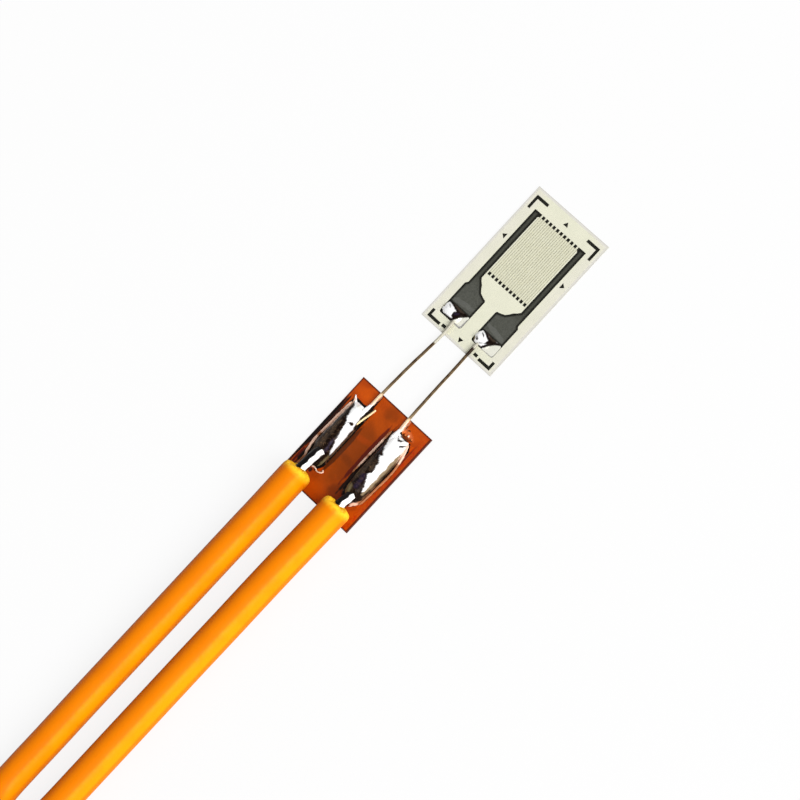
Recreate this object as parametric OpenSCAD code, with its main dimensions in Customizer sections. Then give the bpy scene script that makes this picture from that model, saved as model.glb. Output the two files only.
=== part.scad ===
// Bonded foil strain gauge with two hook-up wires, for one arm of a bridge.
//
// A zig-zag foil grid on a thin film carries two fine copper leads. They run to a small
// film terminal board, where they are soldered to two insulated wires. The spare length
// of the wires is wound up as a pair into one long hank, held by a tape tie.
//
// Millimetres. +X is the sensing direction, away from the wires, and +Z is up. The origin
// lies under the middle of the grid, on the face that is glued to the work.

/* [Carrier film] */
// Thickness of the carrier film
carrier_t = 0.04; // [0.02:0.005:0.1]
// Film left beyond the end loops, at the end away from the wires
far_margin = 0.77; // [0.68:0.01:1.5]
// Film left beyond the solder tabs, at the wire end
near_margin = 0.56; // [0.5:0.01:1.5]
// Film left beyond the solder tabs, on each long side
side_margin = 0.485; // [0.43:0.005:1.5]

/* [Cover film] */
// Thickness of the cover film
cover_t = 0.02; // [0.01:0.005:0.05]
// How far the cover film stops short of the carrier's edges
cover_margin = 0.1; // [0.02:0.01:0.3]
// Length of the tab end that each window in the cover leaves bare
window_bare_len = 0.6; // [0.5:0.05:0.9]
// Gap between a tab and the edge of its window
window_gap = 0.08; // [0.02:0.01:0.15]

/* [Foil grid] */
// Thickness of the foil
foil_t = 0.005; // [0.003:0.001:0.01]
// Distance between the middles of the two rows of end loops
grid_len = 3; // [2.6:0.05:3.2]
// Number of filaments, an even number
filament_n = 22; // [16:2:24]
// Distance from one filament to the next
filament_pitch = 0.107; // [0.09:0.001:0.115]
// Width of one filament
filament_w = 0.025; // [0.015:0.001:0.04]
// Length of an end loop
loop_len = 0.14; // [0.08:0.01:0.2]
// Width of the bar on each side of the grid
bar_w = 0.32; // [0.15:0.01:0.35]
// Distance from the outermost filament to the bar beside it
bar_gap = 0.082; // [0.08:0.001:0.15]

/* [Solder tabs] */
// Length of a solder tab
tab_len = 1.5; // [1.2:0.05:1.6]
// Width of a solder tab
tab_w = 1.28; // [1:0.02:1.4]
// Distance between the two solder tabs
tab_spacing = 0.67; // [0.5:0.01:0.9]
// Distance from the end loops to where a bar begins to widen into its tab
neck_gap = 0.25; // [0.1:0.01:0.3]
// Length over which a bar widens into its tab
neck_len = 0.58; // [0.4:0.01:0.65]
// Height of the solder on a tab
tab_solder_h = 0.19; // [0.17:0.01:0.3]

/* [Alignment marks] */
// Line width of the corner marks
mark_line = 0.13; // [0.05:0.01:0.15]
// Arm of a corner mark across the film
mark_arm_y = 0.7; // [0.4:0.05:0.8]
// Arm along the film, at the end away from the wires
mark_arm_far = 0.62; // [0.3:0.02:0.8]
// Arm along the film, at the wire end
mark_arm_near = 0.37; // [0.2:0.01:0.45]
// Distance from the far edge of the film to the corner marks
mark_inset_far = 0.29; // [0.15:0.01:0.4]
// Distance from the wire end's edge to the corner marks
mark_inset_near = 0.13; // [0.1:0.01:0.3]
// Distance from the long edges to the corner marks
mark_inset_side = 0.21; // [0.12:0.01:0.35]
// Height of the triangles that mark the grid's centre lines
triangle_h = 0.18; // [0.1:0.01:0.2]
// Width of the triangles' base
triangle_w = 0.25; // [0.1:0.01:0.3]

/* [Gauge leads] */
// Diameter of a gauge lead
lead_d = 0.13; // [0.08:0.01:0.14]
// Bare span of the leads between the film and the terminal board
lead_span = 3.33; // [2:0.01:6]
// Distance of each lead from the centre line, at the film
lead_y_film = 0.75; // [0.65:0.01:0.95]
// Distance of each lead from the board's centre line, at the joint
lead_y_joint = 0.88; // [0.8:0.01:1.1]

/* [Terminal board] */
// Length of the terminal board
board_len = 4.9; // [4.6:0.05:5.1]
// Width of the terminal board
board_w = 4.2; // [4:0.1:6]
// Thickness of the terminal board
board_t = 0.1; // [0.05:0.01:0.1]
// How far the board sits off the gauge's centre line
board_shift = -0.04; // [-0.1:0.01:0.1]
// Length of a copper pad
pad_len = 3.2; // [2.9:0.05:3.3]
// Width of a copper pad
pad_w = 1.1; // [0.9:0.02:1.3]
// Thickness of a copper pad
pad_t = 0.035; // [0.02:0.005:0.07]
// Distance between the middles of the two pads
pad_spacing = 2.4; // [2.3:0.05:2.5]
// Board left in front of the pads, at the gauge's side
pad_front = 0.7; // [0.5:0.05:0.9]
// Height of the solder on a pad
joint_h = 0.56; // [0.5:0.02:0.7]
// Diameter of the stray copper strand at the first joint
stray_d = 0.1; // [0.06:0.01:0.14]

/* [Hook-up wires] */
// Diameter over the insulation
wire_d = 1.3; // [1.2:0.02:1.3]
// Diameter of the tinned conductor
core_d = 0.45; // [0.3:0.01:0.46]
// Length of the bare conductor at each free end
tip_len = 5; // [3:0.5:6]

/* [Hank] */
// Radius of the hank's hole at its round ends
hank_in = 3.25; // [3.2:0.05:4]
// Length of the hank's straight runs
hank_run = 19.5; // [19:0.5:26]
// Spare distance at which the wires' last points lie clear of the hank's round end
hank_clear = 0.1; // [0.1:0.1:2]
// Width of the tape tie
tie_w = 1.6; // [1:0.1:3]
// Thickness of the tape tie
tie_t = 0.2; // [0.1:0.02:0.3]

/* [Hidden] */
$fn = 48;

// Levels of the layers, from the glued face up
foil_top = carrier_t + foil_t;
cover_top = foil_top + cover_t;
pad_top = board_t + pad_t;

// Foil grid
filament_y = (filament_n - 1) / 2 * filament_pitch;
loop_in = grid_len / 2 - loop_len / 2;
loop_out = grid_len / 2 + loop_len / 2;
loop_w = filament_pitch + filament_w;
bar_in = filament_y + bar_gap;
bar_out = bar_in + bar_w;

// Solder tabs; every tab size is for the tab on the +Y side
tab_front = -(loop_out + neck_gap + neck_len);
tab_end = tab_front - tab_len;
tab_in = tab_spacing / 2;
tab_out = tab_in + tab_w;
tab_corner = 0.1;
shoulder = 0.1;
// The inner edge of the neck, as shares of its length and of its rise to the bar
neck_curve = [[0, 0.12], [0.05, 0.25], [0.17, 0.46], [0.36, 0.59], [0.62, 0.72], [0.81, 0.89], [1, 1]];
window_edge = tab_end + window_bare_len;

// Edges of the carrier film and of the terminal board
film_far = loop_out + far_margin;
film_near = tab_end - near_margin;
carrier_len = film_far - film_near;
carrier_w = 2 * (tab_out + side_margin);
board_far = film_near - lead_span;
board_near = board_far - board_len;
pad_far = board_far - pad_front;
pad_near = pad_far - pad_len;

// Alignment marks
triangle_gap_far = 0.26;
triangle_gap_near = 0.23;
triangle_gap_side = 0.17;
lead_mark_len = 0.2;
lead_mark_gap = 0.065;
lead_mark_y = lead_y_film + lead_d / 2 + lead_mark_gap;
lead_mark_from_tab = 0.255;

// A fine gap that keeps a round wire clear of the flat it rests on inside the solder
seat_gap = 0.01;
solder_rim = 0.02;
lead_in_tab = 0.28;
lead_in_joint = 0.6;
core_in_joint = 1;

// Routes of the two wires as they lie, from the terminal board to the hank, where the
// first wire climbs onto the second. X counts from the near end of the pads, and the
// height in wire diameters, above what the wire rests on.
WIRE_ROUTE_1 = [
    [-0.4, 0.95, 0], [-1.1, 0.96, 0], [-2.8, 1.02, 0], [-4.8, 1.04, 0],
    [-6.8, 1.05, 0], [-8.8, 1.06, 0], [-10.8, 1.07, 0], [-12.8, 1.08, 0],
    [-14.8, 1.08, 0], [-16.3, 1.09, 0], [-17.3, 1.06, 0.02], [-18.3, 0.8, 0.2],
    [-19.3, 0.38, 0.5], [-20.3, 0.12, 0.84], [-21.3, -0.22, 0.99], [-22.3, -0.4, 1]
];
WIRE_ROUTE_2 = [
    [-0.4, -1.48, 0], [-1.1, -1.46, 0], [-2.8, -1.37, 0], [-4.8, -1.34, 0],
    [-6.8, -1.33, 0], [-8.8, -1.31, 0], [-10.8, -1.3, 0], [-12.8, -1.29, 0],
    [-14.8, -1.28, 0], [-16.3, -1.27, 0], [-17.3, -1.22, 0], [-18.3, -1.04, 0],
    [-19.3, -0.8, 0], [-20.3, -0.6, 0], [-21.3, -0.46, 0], [-22.3, -0.4, 0]
];
ON_BOARD_POINTS = 2;
TO_HANK = [-1, 0, 0];
hank_entry = WIRE_ROUTE_2[len(WIRE_ROUTE_2) - 1];

// The hank: its turns lie in columns and layers, with the wires entering the outer column.
// The places are the middles of its two round ends.
hank_columns = 2;
hank_layers = 4;
hank_out = hank_in + hank_columns * wire_d;
hank_h = hank_layers * wire_d;
// The wires come in along the outer column, so they clear the round end only this far out
hank_offset = sqrt(pow(hank_out + wire_d / 2, 2) - pow(hank_out - wire_d / 2, 2)) + hank_clear;
hank_near = [pad_near + hank_entry[0] - hank_offset, hank_entry[1] - hank_out + wire_d / 2];
hank_far = hank_near - [hank_run, 0];
hank_lead_in = [1.2, hank_offset];

// The free ends lie in the hole, along the run on the -Y side, the first wire outside
tail_y = [hank_near[1] - hank_in + 0.5 * wire_d, hank_near[1] - hank_in + 1.5 * wire_d];
tail_from = [hank_far[0] + 7, hank_far[0] + 5];
tail_to = hank_near[0] - 1 - tip_len;

knot_size = [1.1, 0.5, 0.8];

// Colours, as they show
FILM = [0.89, 0.89, 0.81];
COVER = [0.91, 0.91, 0.83, 0.6];
FOIL = [0.29, 0.29, 0.26];
MARK = [0.13, 0.13, 0.11];
TIN = [0.78, 0.78, 0.8];
COPPER = [0.72, 0.46, 0.32];
BOARD = [0.7, 0.28, 0.02];
INSULATION = [1, 0.58, 0];
TAPE = [0.93, 0.92, 0.88];

// Side 1 of every pair lies on +Y, and side 2 on -Y
function side_sign(side) = side == 1 ? 1 : -1;

function unit(v) = v / norm(v);

// Points of a circular arc in the plane
function arc(centre, r, from, to, steps = 6) = [
    for (i = [0 : steps]) let (a = from + (to - from) * i / steps) centre + r * [cos(a), sin(a)]
];

// A ring of points round a route, at right angles to it; it starts level with the route
function ring(centre, along, r, sides) =
    let (level = unit(cross([0, 0, 1], along)), up = cross(along, level))
    [for (k = [0 : sides - 1]) let (a = 360 * k / sides) centre + r * (cos(a) * level + sin(a) * up)];

// The direction of a route at one of its points, halfway between those before and after it
function heading(route, i) =
    let (
        ahead = unit(route[min(i + 1, len(route) - 1)] - route[min(i, len(route) - 2)]),
        behind = unit(route[max(i, 1)] - route[max(i - 1, 0)])
    )
    unit(ahead + behind);

// A round cord along a route, as one closed solid; the first and last faces can be turned
module cord(route, d, sides = 8, first = undef, last = undef) {
    rings = len(route);
    points = [
        for (i = [0 : rings - 1])
            let (end = i == 0 ? first : i == rings - 1 ? last : undef)
            each ring(route[i], is_undef(end) ? heading(route, i) : end, d / 2, sides)
    ];
    walls = [
        for (i = [0 : rings - 2], k = [0 : sides - 1])
            let (a = i * sides + k, b = i * sides + (k + 1) % sides)
            each [[a, a + sides, b], [b, a + sides, b + sides]]
    ];
    start_cap = [for (k = [1 : sides - 2]) [0, k, k + 1]];
    last_ring = (rings - 1) * sides;
    end_cap = [for (k = [1 : sides - 2]) [last_ring, last_ring + k + 1, last_ring + k]];
    polyhedron(points = points, faces = concat(walls, start_cap, end_cap));
}

// A straight round rod between two points
module rod(from, to, d) {
    run = to - from;
    turn = atan2(run[1], run[0]);
    tilt = acos(run[2] / norm(run));
    translate(from) rotate([0, tilt, turn]) cylinder(h = norm(run), d = d);
}

// A round metal wire, bent at each inner point of its route
module bent_wire(route, d) {
    cord(route, d, sides = 12);
}

// A flat piece of foil on the carrier
module foil() {
    translate([0, 0, carrier_t]) linear_extrude(height = foil_t) children();
}

module carrier_film() {
    color(FILM)
        translate([film_near, -carrier_w / 2, 0]) cube([carrier_len, carrier_w, carrier_t]);
}

module cover_film() {
    low = [film_near + cover_margin, -carrier_w / 2 + cover_margin];
    color(COVER)
        translate([0, 0, foil_top]) linear_extrude(height = cover_t)
            difference() {
                translate(low) square([carrier_len, carrier_w] - 2 * [cover_margin, cover_margin]);
                for (s = [-1, 1]) scale([1, s])
                    translate([tab_end - window_gap, tab_in - window_gap])
                        square([window_edge - tab_end + window_gap, tab_w + 2 * window_gap]);
            }
}

// One bar with its neck and tab, on the +Y side
module bar_and_tab() {
    rise = bar_in - tab_in;
    inner_edge = [for (p = neck_curve) [tab_front + p[0] * neck_len, tab_in + p[1] * rise]];
    hook_low = filament_y - filament_w / 2;
    hook_fillet = 0.06;
    polygon(concat(
        arc([tab_end + tab_corner, tab_in + tab_corner], tab_corner, 180, 270),
        arc([tab_front - tab_corner, tab_in + tab_corner], tab_corner, 270, 350),
        inner_edge,
        [
            [loop_in - hook_fillet, bar_in], [loop_in, bar_in - hook_fillet],
            [loop_in, hook_low], [loop_out, hook_low], [loop_out, bar_out],
            [tab_front + shoulder, bar_out], [tab_front, tab_out]
        ],
        arc([tab_end + tab_corner, tab_out - tab_corner], tab_corner, 90, 180)
    ));
}

// End loops, each joining two neighbouring filaments; first is the lower filament's number
module end_loops(middle, first, count) {
    for (i = [0 : count - 1])
        translate([middle, (first + 2 * i + 0.5) * filament_pitch - filament_y])
            square([loop_len, loop_w], center = true);
}

module foil_grid() {
    color(FOIL) {
        for (s = [0, 1]) mirror([0, s, 0]) foil() bar_and_tab();
        foil() {
            for (i = [0 : filament_n - 1])
                translate([0, i * filament_pitch - filament_y])
                    square([grid_len, filament_w], center = true);
            end_loops(-grid_len / 2, 0, filament_n / 2);
            end_loops(grid_len / 2, 1, filament_n / 2 - 1);
        }
    }
}

// A corner mark with its corner at the origin and its arms towards +X and +Y
module corner(arm_x) {
    square([arm_x, mark_line]);
    square([mark_line, mark_arm_y]);
}

// Marks 1 and 2 are at the far end, 3 and 4 at the wire end
module corner_mark(i) {
    far = i <= 2;
    side = i % 2 == 1 ? 1 : -1;
    at_x = far ? film_far - mark_inset_far : film_near + mark_inset_near;
    color(MARK) foil()
        translate([at_x, side * (carrier_w / 2 - mark_inset_side)])
            scale([far ? -1 : 1, -side]) corner(far ? mark_arm_far : mark_arm_near);
}

// A triangle that points away from the grid, along one of its two centre lines
module centre_mark(i) {
    base = [
        loop_out + triangle_gap_far,
        bar_out + triangle_gap_side,
        -tab_end + triangle_gap_near,
        bar_out + triangle_gap_side
    ][i - 1];
    color(MARK) foil()
        rotate(90 * (i - 1)) translate([base, 0])
            polygon([[0, -triangle_w / 2], [triangle_h, 0], [0, triangle_w / 2]]);
}

// A short dash beside each lead, where it leaves its tab
module lead_mark(side) {
    low = min(side_sign(side) * lead_mark_y, side_sign(side) * (lead_mark_y + lead_mark_len));
    color(MARK) foil()
        translate([tab_end - lead_mark_from_tab - mark_line, low])
            square([mark_line, lead_mark_len]);
}

// Points along a gauge lead, from inside its tab solder to inside its joint
function lead_points(side) =
    let (
        y_film = side_sign(side) * lead_y_film,
        y_joint = board_shift + side_sign(side) * lead_y_joint,
        over_film = cover_top + lead_d / 2 + seat_gap,
        over_board = pad_top + lead_d / 2 + seat_gap,
        middle = [(film_near + board_far) / 2, (y_film + y_joint) / 2, over_board + lead_d / 4]
    )
    [
        [tab_end + lead_in_tab, y_film, foil_top + lead_d / 2 + seat_gap],
        [tab_end - window_gap, y_film, over_film],
        [film_near, y_film, over_film],
        middle,
        [pad_far, y_joint, over_board],
        [pad_far - lead_in_joint, y_joint, over_board]
    ];

module gauge_lead(side) {
    color(COPPER) bent_wire(lead_points(side), lead_d);
}

module tab_solder(side) {
    ball = 0.18;
    rim = ball / 2 + solder_rim;
    x_low = tab_end + solder_rim;
    x_high = window_edge - solder_rim;
    ridge_x = (x_low + x_high) / 2;
    color(TIN) difference() {
        hull() {
            for (x = [x_low + rim, x_high - rim], y = [tab_in + rim, tab_out - rim])
                translate([x, side_sign(side) * y, foil_top])
                    cylinder(h = solder_rim, r = rim, $fn = 32);
            for (y = [lead_y_film - lead_d / 2, tab_out - tab_w / 4])
                translate([ridge_x, side_sign(side) * y, foil_top + tab_solder_h - ball / 2])
                    sphere(d = ball, $fn = 32);
        }
        bent_wire(lead_points(side), lead_d);
    }
}

module terminal_board() {
    color(BOARD)
        translate([board_near, board_shift - board_w / 2, 0]) cube([board_len, board_w, board_t]);
}

function pad_y(side) = board_shift + side_sign(side) * pad_spacing / 2;

// Points along the middle of a hook-up wire, up to the hank
function wire_points(side) =
    let (route = side == 1 ? WIRE_ROUTE_1 : WIRE_ROUTE_2)
    [
        for (i = [0 : len(route) - 1])
            let (p = route[i], rest = i < ON_BOARD_POINTS ? board_t : 0)
            [pad_near + p[0], p[1], rest + wire_d * (p[2] + 0.5)]
    ];

module terminal_pad(side) {
    color(COPPER)
        translate([pad_near, pad_y(side) - pad_w / 2, board_t]) cube([pad_len, pad_w, pad_t]);
}

// Points along a bare conductor, from the end of its insulation down into the joint
function core_points(side) =
    let (
        start = wire_points(side)[0],
        down = [pad_near + core_in_joint, start[1], pad_top + core_d / 2 + seat_gap]
    )
    [start, start - 0.15 * TO_HANK, down, down - 0.4 * TO_HANK];

module conductor(side) {
    color(TIN) bent_wire(core_points(side), core_d);
}

// A loose copper strand that sticks out of the first joint, towards the gauge
function stray_points() =
    let (
        z = pad_top + stray_d / 2 + seat_gap,
        clear_of_lead = (lead_d + stray_d) / 2 + 0.02,
        start = [pad_far - lead_in_joint - 0.1, board_shift + lead_y_joint - clear_of_lead, z]
    )
    [start, [pad_far + 0.05, pad_y(1) - pad_w / 2 - 0.05, z]];

module stray_strand() {
    color(COPPER) rod(stray_points()[0], stray_points()[1], stray_d);
}

module joint_solder(side) {
    ball = 0.5;
    foot_r = pad_w / 4;
    ridge = [pad_near + pad_len / 5, pad_far - pad_len / 4];
    color(TIN) difference() {
        hull() {
            for (x = [pad_near + foot_r, pad_far - foot_r], y = [-1, 1])
                translate([x, pad_y(side) + y * (pad_w / 2 - foot_r), pad_top])
                    cylinder(h = solder_rim, r = foot_r, $fn = 32);
            for (x = ridge, y = [-1, 1])
                translate([x, pad_y(side) + y * pad_w / 5, pad_top + joint_h - ball / 2])
                    sphere(d = ball, $fn = 32);
        }
        bent_wire(lead_points(side), lead_d);
        bent_wire(core_points(side), core_d);
        if (side == 1) stray_strand();
    }
}

module wire(side) {
    color(INSULATION) cord(wire_points(side), wire_d, first = TO_HANK, last = TO_HANK);
}

// The outline of a loop round the hank, with round ends
module hank_outline(r) {
    polygon(concat(arc(hank_near, r, -90, 90, 16), arc(hank_far, r, 90, 270, 16)));
}

// The outer shape of all the turns, with the two wires leading in, one on the other
module wire_hank() {
    color(INSULATION) difference() {
        union() {
            linear_extrude(height = hank_h)
                difference() {
                    hank_outline(hank_out);
                    hank_outline(hank_in);
                }
            translate([hank_near[0] + hank_lead_in[0], hank_entry[1], 0])
                rotate([90, 0, 90]) linear_extrude(height = hank_lead_in[1] - hank_lead_in[0]) {
                    for (layer = [0, 1]) translate([0, wire_d * (layer + 0.5)]) circle(d = wire_d);
                    translate([-wire_d / 2, wire_d / 2]) square([wire_d, wire_d]);
                }
        }
        tie_band();
    }
}

// The band of tape round the turns, in the middle of the run on the +Y side
module tie_band() {
    translate([(hank_near[0] + hank_far[0]) / 2, hank_near[1], 0])
        rotate([90, 0, 90]) linear_extrude(height = tie_w, center = true)
            difference() {
                translate([hank_in - tie_t, 0])
                    square([hank_out - hank_in + 2 * tie_t, hank_h + tie_t]);
                translate([hank_in, tie_t]) square([hank_out - hank_in, hank_h - tie_t]);
            }
}

module hank_tie() {
    middle_x = (hank_near[0] + hank_far[0]) / 2;
    face_y = hank_near[1] + hank_out + tie_t;
    color(TAPE) {
        tie_band();
        translate([middle_x - knot_size[0] / 2, face_y - tie_t / 2, hank_h / 2])
            cube(knot_size + [0, tie_t / 2, 0]);
    }
}

module wire_tail(side) {
    level = wire_d / 2;
    route = [[tail_from[side - 1], tail_y[side - 1], level], [tail_to, tail_y[side - 1], level]];
    color(INSULATION) cord(route, wire_d);
}

module wire_tip(side) {
    start = [tail_to, tail_y[side - 1], wire_d / 2];
    color(TIN) rod(start, start - tip_len * TO_HANK, core_d);
}

carrier_film();
cover_film();
foil_grid();
for (i = [1 : 4]) corner_mark(i);
for (i = [1 : 4]) centre_mark(i);
for (side = [1, 2]) {
    lead_mark(side);
    tab_solder(side);
    gauge_lead(side);
    terminal_pad(side);
    joint_solder(side);
    conductor(side);
    wire(side);
    wire_tail(side);
    wire_tip(side);
}
terminal_board();
stray_strand();
wire_hank();
hank_tie();
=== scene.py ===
"""Dresses a bonded foil strain gauge, its terminal board and its two hook-up wires, tied in a hank.

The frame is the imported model's, in metres: +X is the sensing direction, away from the wires, +Z is up,
and the origin lies under the middle of the grid, on the face that is glued down. Sizes are written in
millimetres, and MM turns them into metres. Side 1 of every pair lies on +Y and side 2 on -Y.
"""

import logging
import math
from collections.abc import Sequence
from dataclasses import dataclass
from enum import Enum

import bpy
import numpy as np
from mathutils import Matrix, Vector
from mathutils.noise import noise


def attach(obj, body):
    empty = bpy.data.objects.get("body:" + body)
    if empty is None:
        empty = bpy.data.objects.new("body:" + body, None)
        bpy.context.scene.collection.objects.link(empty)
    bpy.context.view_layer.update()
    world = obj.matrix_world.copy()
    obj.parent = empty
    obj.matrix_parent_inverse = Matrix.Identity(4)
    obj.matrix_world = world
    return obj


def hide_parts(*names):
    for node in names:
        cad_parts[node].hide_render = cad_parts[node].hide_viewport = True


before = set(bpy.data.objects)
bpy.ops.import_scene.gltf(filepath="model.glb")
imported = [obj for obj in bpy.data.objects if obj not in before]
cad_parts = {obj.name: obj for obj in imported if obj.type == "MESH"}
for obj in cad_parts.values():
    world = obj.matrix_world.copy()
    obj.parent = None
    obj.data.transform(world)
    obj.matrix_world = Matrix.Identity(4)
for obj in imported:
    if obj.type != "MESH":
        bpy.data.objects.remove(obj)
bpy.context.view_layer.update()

MM = 0.001
SIDES = (1, 2)
LOG = logging.getLogger("strain_gauge")

Point2 = tuple[float, float]
Point3 = tuple[float, float, float]
Station = tuple[float, float, float, float]
Colour = tuple[float, float, float, float]
Socket = bpy.types.NodeSocket
Input = Socket | float | Sequence[float]


def tint(red: int, green: int, blue: int) -> Colour:
    """A colour as it is seen, as the shaders want it.

    Args:
        red: Red from 0 to 255.
        green: Green from 0 to 255.
        blue: Blue from 0 to 255.

    Returns:
        The linear colour, with an alpha of 1.
    """
    seen = [c / 255 for c in (red, green, blue)]
    linear = [c / 12.92 if c <= 0.04045 else ((c + 0.055) / 1.055) ** 2.4 for c in seen]
    return (linear[0], linear[1], linear[2], 1.0)


def smoothstep(value: np.ndarray | float) -> np.ndarray:
    """Eases 0 to 1 with a level start and end."""
    t = np.clip(value, 0.0, 1.0)
    return t * t * (3 - 2 * t)


def smooth_path(points: Sequence[Sequence[float]], steps: int) -> np.ndarray:
    """Rounds a row of points off into a smooth curve that passes through them all.

    Args:
        points: The points, of any number of coordinates.
        steps: How many points the curve has for each span between two of them.

    Returns:
        The curve's points, the first and last ones as given.
    """
    p = np.array(points, float)
    p = np.vstack([2 * p[0] - p[1], p, 2 * p[-1] - p[-2]])
    t = np.linspace(0, 1, steps, endpoint=False)[:, None]
    spans = [
        0.5
        * (
            2 * b
            + (c - a) * t
            + (2 * a - 5 * b + 4 * c - d) * t**2
            + (3 * b - a - 3 * c + d) * t**3
        )
        for a, b, c, d in zip(p[:-3], p[1:-2], p[2:-1], p[3:], strict=True)
    ]
    return np.vstack([*spans, p[-2:-1]])


def rough(points: np.ndarray, scale: float, seed: float) -> np.ndarray:
    """Smooth random heights, from about -1 to 1, that are the same each run.

    Args:
        points: Points in millimetres.
        scale: Bumps in a millimetre.
        seed: A shift that makes one surface differ from another.

    Returns:
        One height for each point.
    """
    return np.array([noise(Vector(p) * scale + Vector((seed, 0, 0))) for p in points])


class Shell:
    """A mesh in the making, put together from lofts; its points are in millimetres."""

    SHARP_ANGLE = math.radians(60)

    def __init__(self) -> None:
        """Starts with nothing in it."""
        self.points: list[np.ndarray] = []
        self.faces: list[tuple[int, ...]] = []
        self.count = 0

    def loft(self, rings: np.ndarray) -> None:
        """Adds a closed solid through a row of rings.

        Args:
            rings: Ring by ring and point by point, counterclockwise seen from the far end.
        """
        n, m, _ = rings.shape
        start = self.count
        self.points.append(rings.reshape(-1, 3))
        self.count += n * m
        for i in range(n - 1):
            row = start + i * m
            for k in range(m):
                j = (k + 1) % m
                self.faces.append((row + k, row + j, row + m + j, row + m + k))
        self.faces.append(tuple(start + k for k in reversed(range(m))))
        self.faces.append(tuple(start + (n - 1) * m + k for k in range(m)))

    def tube(
        self,
        path: np.ndarray,
        radii: np.ndarray | float,
        sides: int = 24,
        along: np.ndarray | float = 0.0,
    ) -> None:
        """Adds a round tube.

        Args:
            path: The centre of each ring.
            radii: Its radius, or one for each ring, or one for each point of each ring.
            sides: Points in a ring.
            along: How far points are shifted along the path, given as the radii are.
        """
        heading = np.gradient(path, axis=0)
        heading /= np.linalg.norm(heading, axis=1)[:, None]
        level = np.cross([0.0, 0.0, 1.0], heading)
        level /= np.linalg.norm(level, axis=1)[:, None]
        rise = np.cross(heading, level)
        turn = np.linspace(0, 2 * np.pi, sides, endpoint=False)[None, :, None]
        shape = (len(path), sides)
        reach = np.broadcast_to(np.array(radii, float).reshape(self._fit(radii)), shape)[..., None]
        shift = np.broadcast_to(np.array(along, float).reshape(self._fit(along)), shape)[..., None]
        out = np.cos(turn) * level[:, None] + np.sin(turn) * rise[:, None]
        self.loft(path[:, None] + reach * out + shift * heading[:, None])

    @staticmethod
    def _fit(value: np.ndarray | float) -> tuple[int, ...]:
        """The shape that lets a number, a row or a table spread over all rings."""
        shape = np.shape(value)
        return (1, 1) if not shape else (shape[0], 1) if len(shape) == 1 else shape

    def make(self, name: str, finish: bpy.types.Material, slot: str, *nodes: str) -> bpy.types.Object:
        """Makes the object, which then stands for its solids and rides with the gauge.

        Args:
            name: The piece's name.
            finish: Its material.
            slot: The record's material slot; not used.
            nodes: The solids that it stands for.

        Returns:
            The new object.
        """
        mesh = bpy.data.meshes.new(name)
        mesh.from_pydata(np.vstack(self.points) * MM, [], self.faces)
        mesh.validate()
        mesh.shade_smooth()
        mesh.set_sharp_from_angle(angle=self.SHARP_ANGLE)
        piece = bpy.data.objects.new(name, mesh)
        bpy.context.collection.objects.link(piece)
        mesh.materials.append(finish)
        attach(piece, "root")
        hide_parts(*nodes)
        LOG.info("made %s with %d faces", name, len(mesh.polygons))
        return piece


@dataclass(frozen=True)
class Stain:
    """A ragged oval stain, seen from above.

    Its radii are half its length and half its width, and its length is turned from X by the angle, in
    degrees. Its edge wanders by the ragged share of its size, and fades out over twice the soft share.
    """

    centre: Point2
    radii: Point2
    angle: float
    colour: Colour
    depth: float
    soft: float = 0.15
    ragged: float = 0.3


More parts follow.
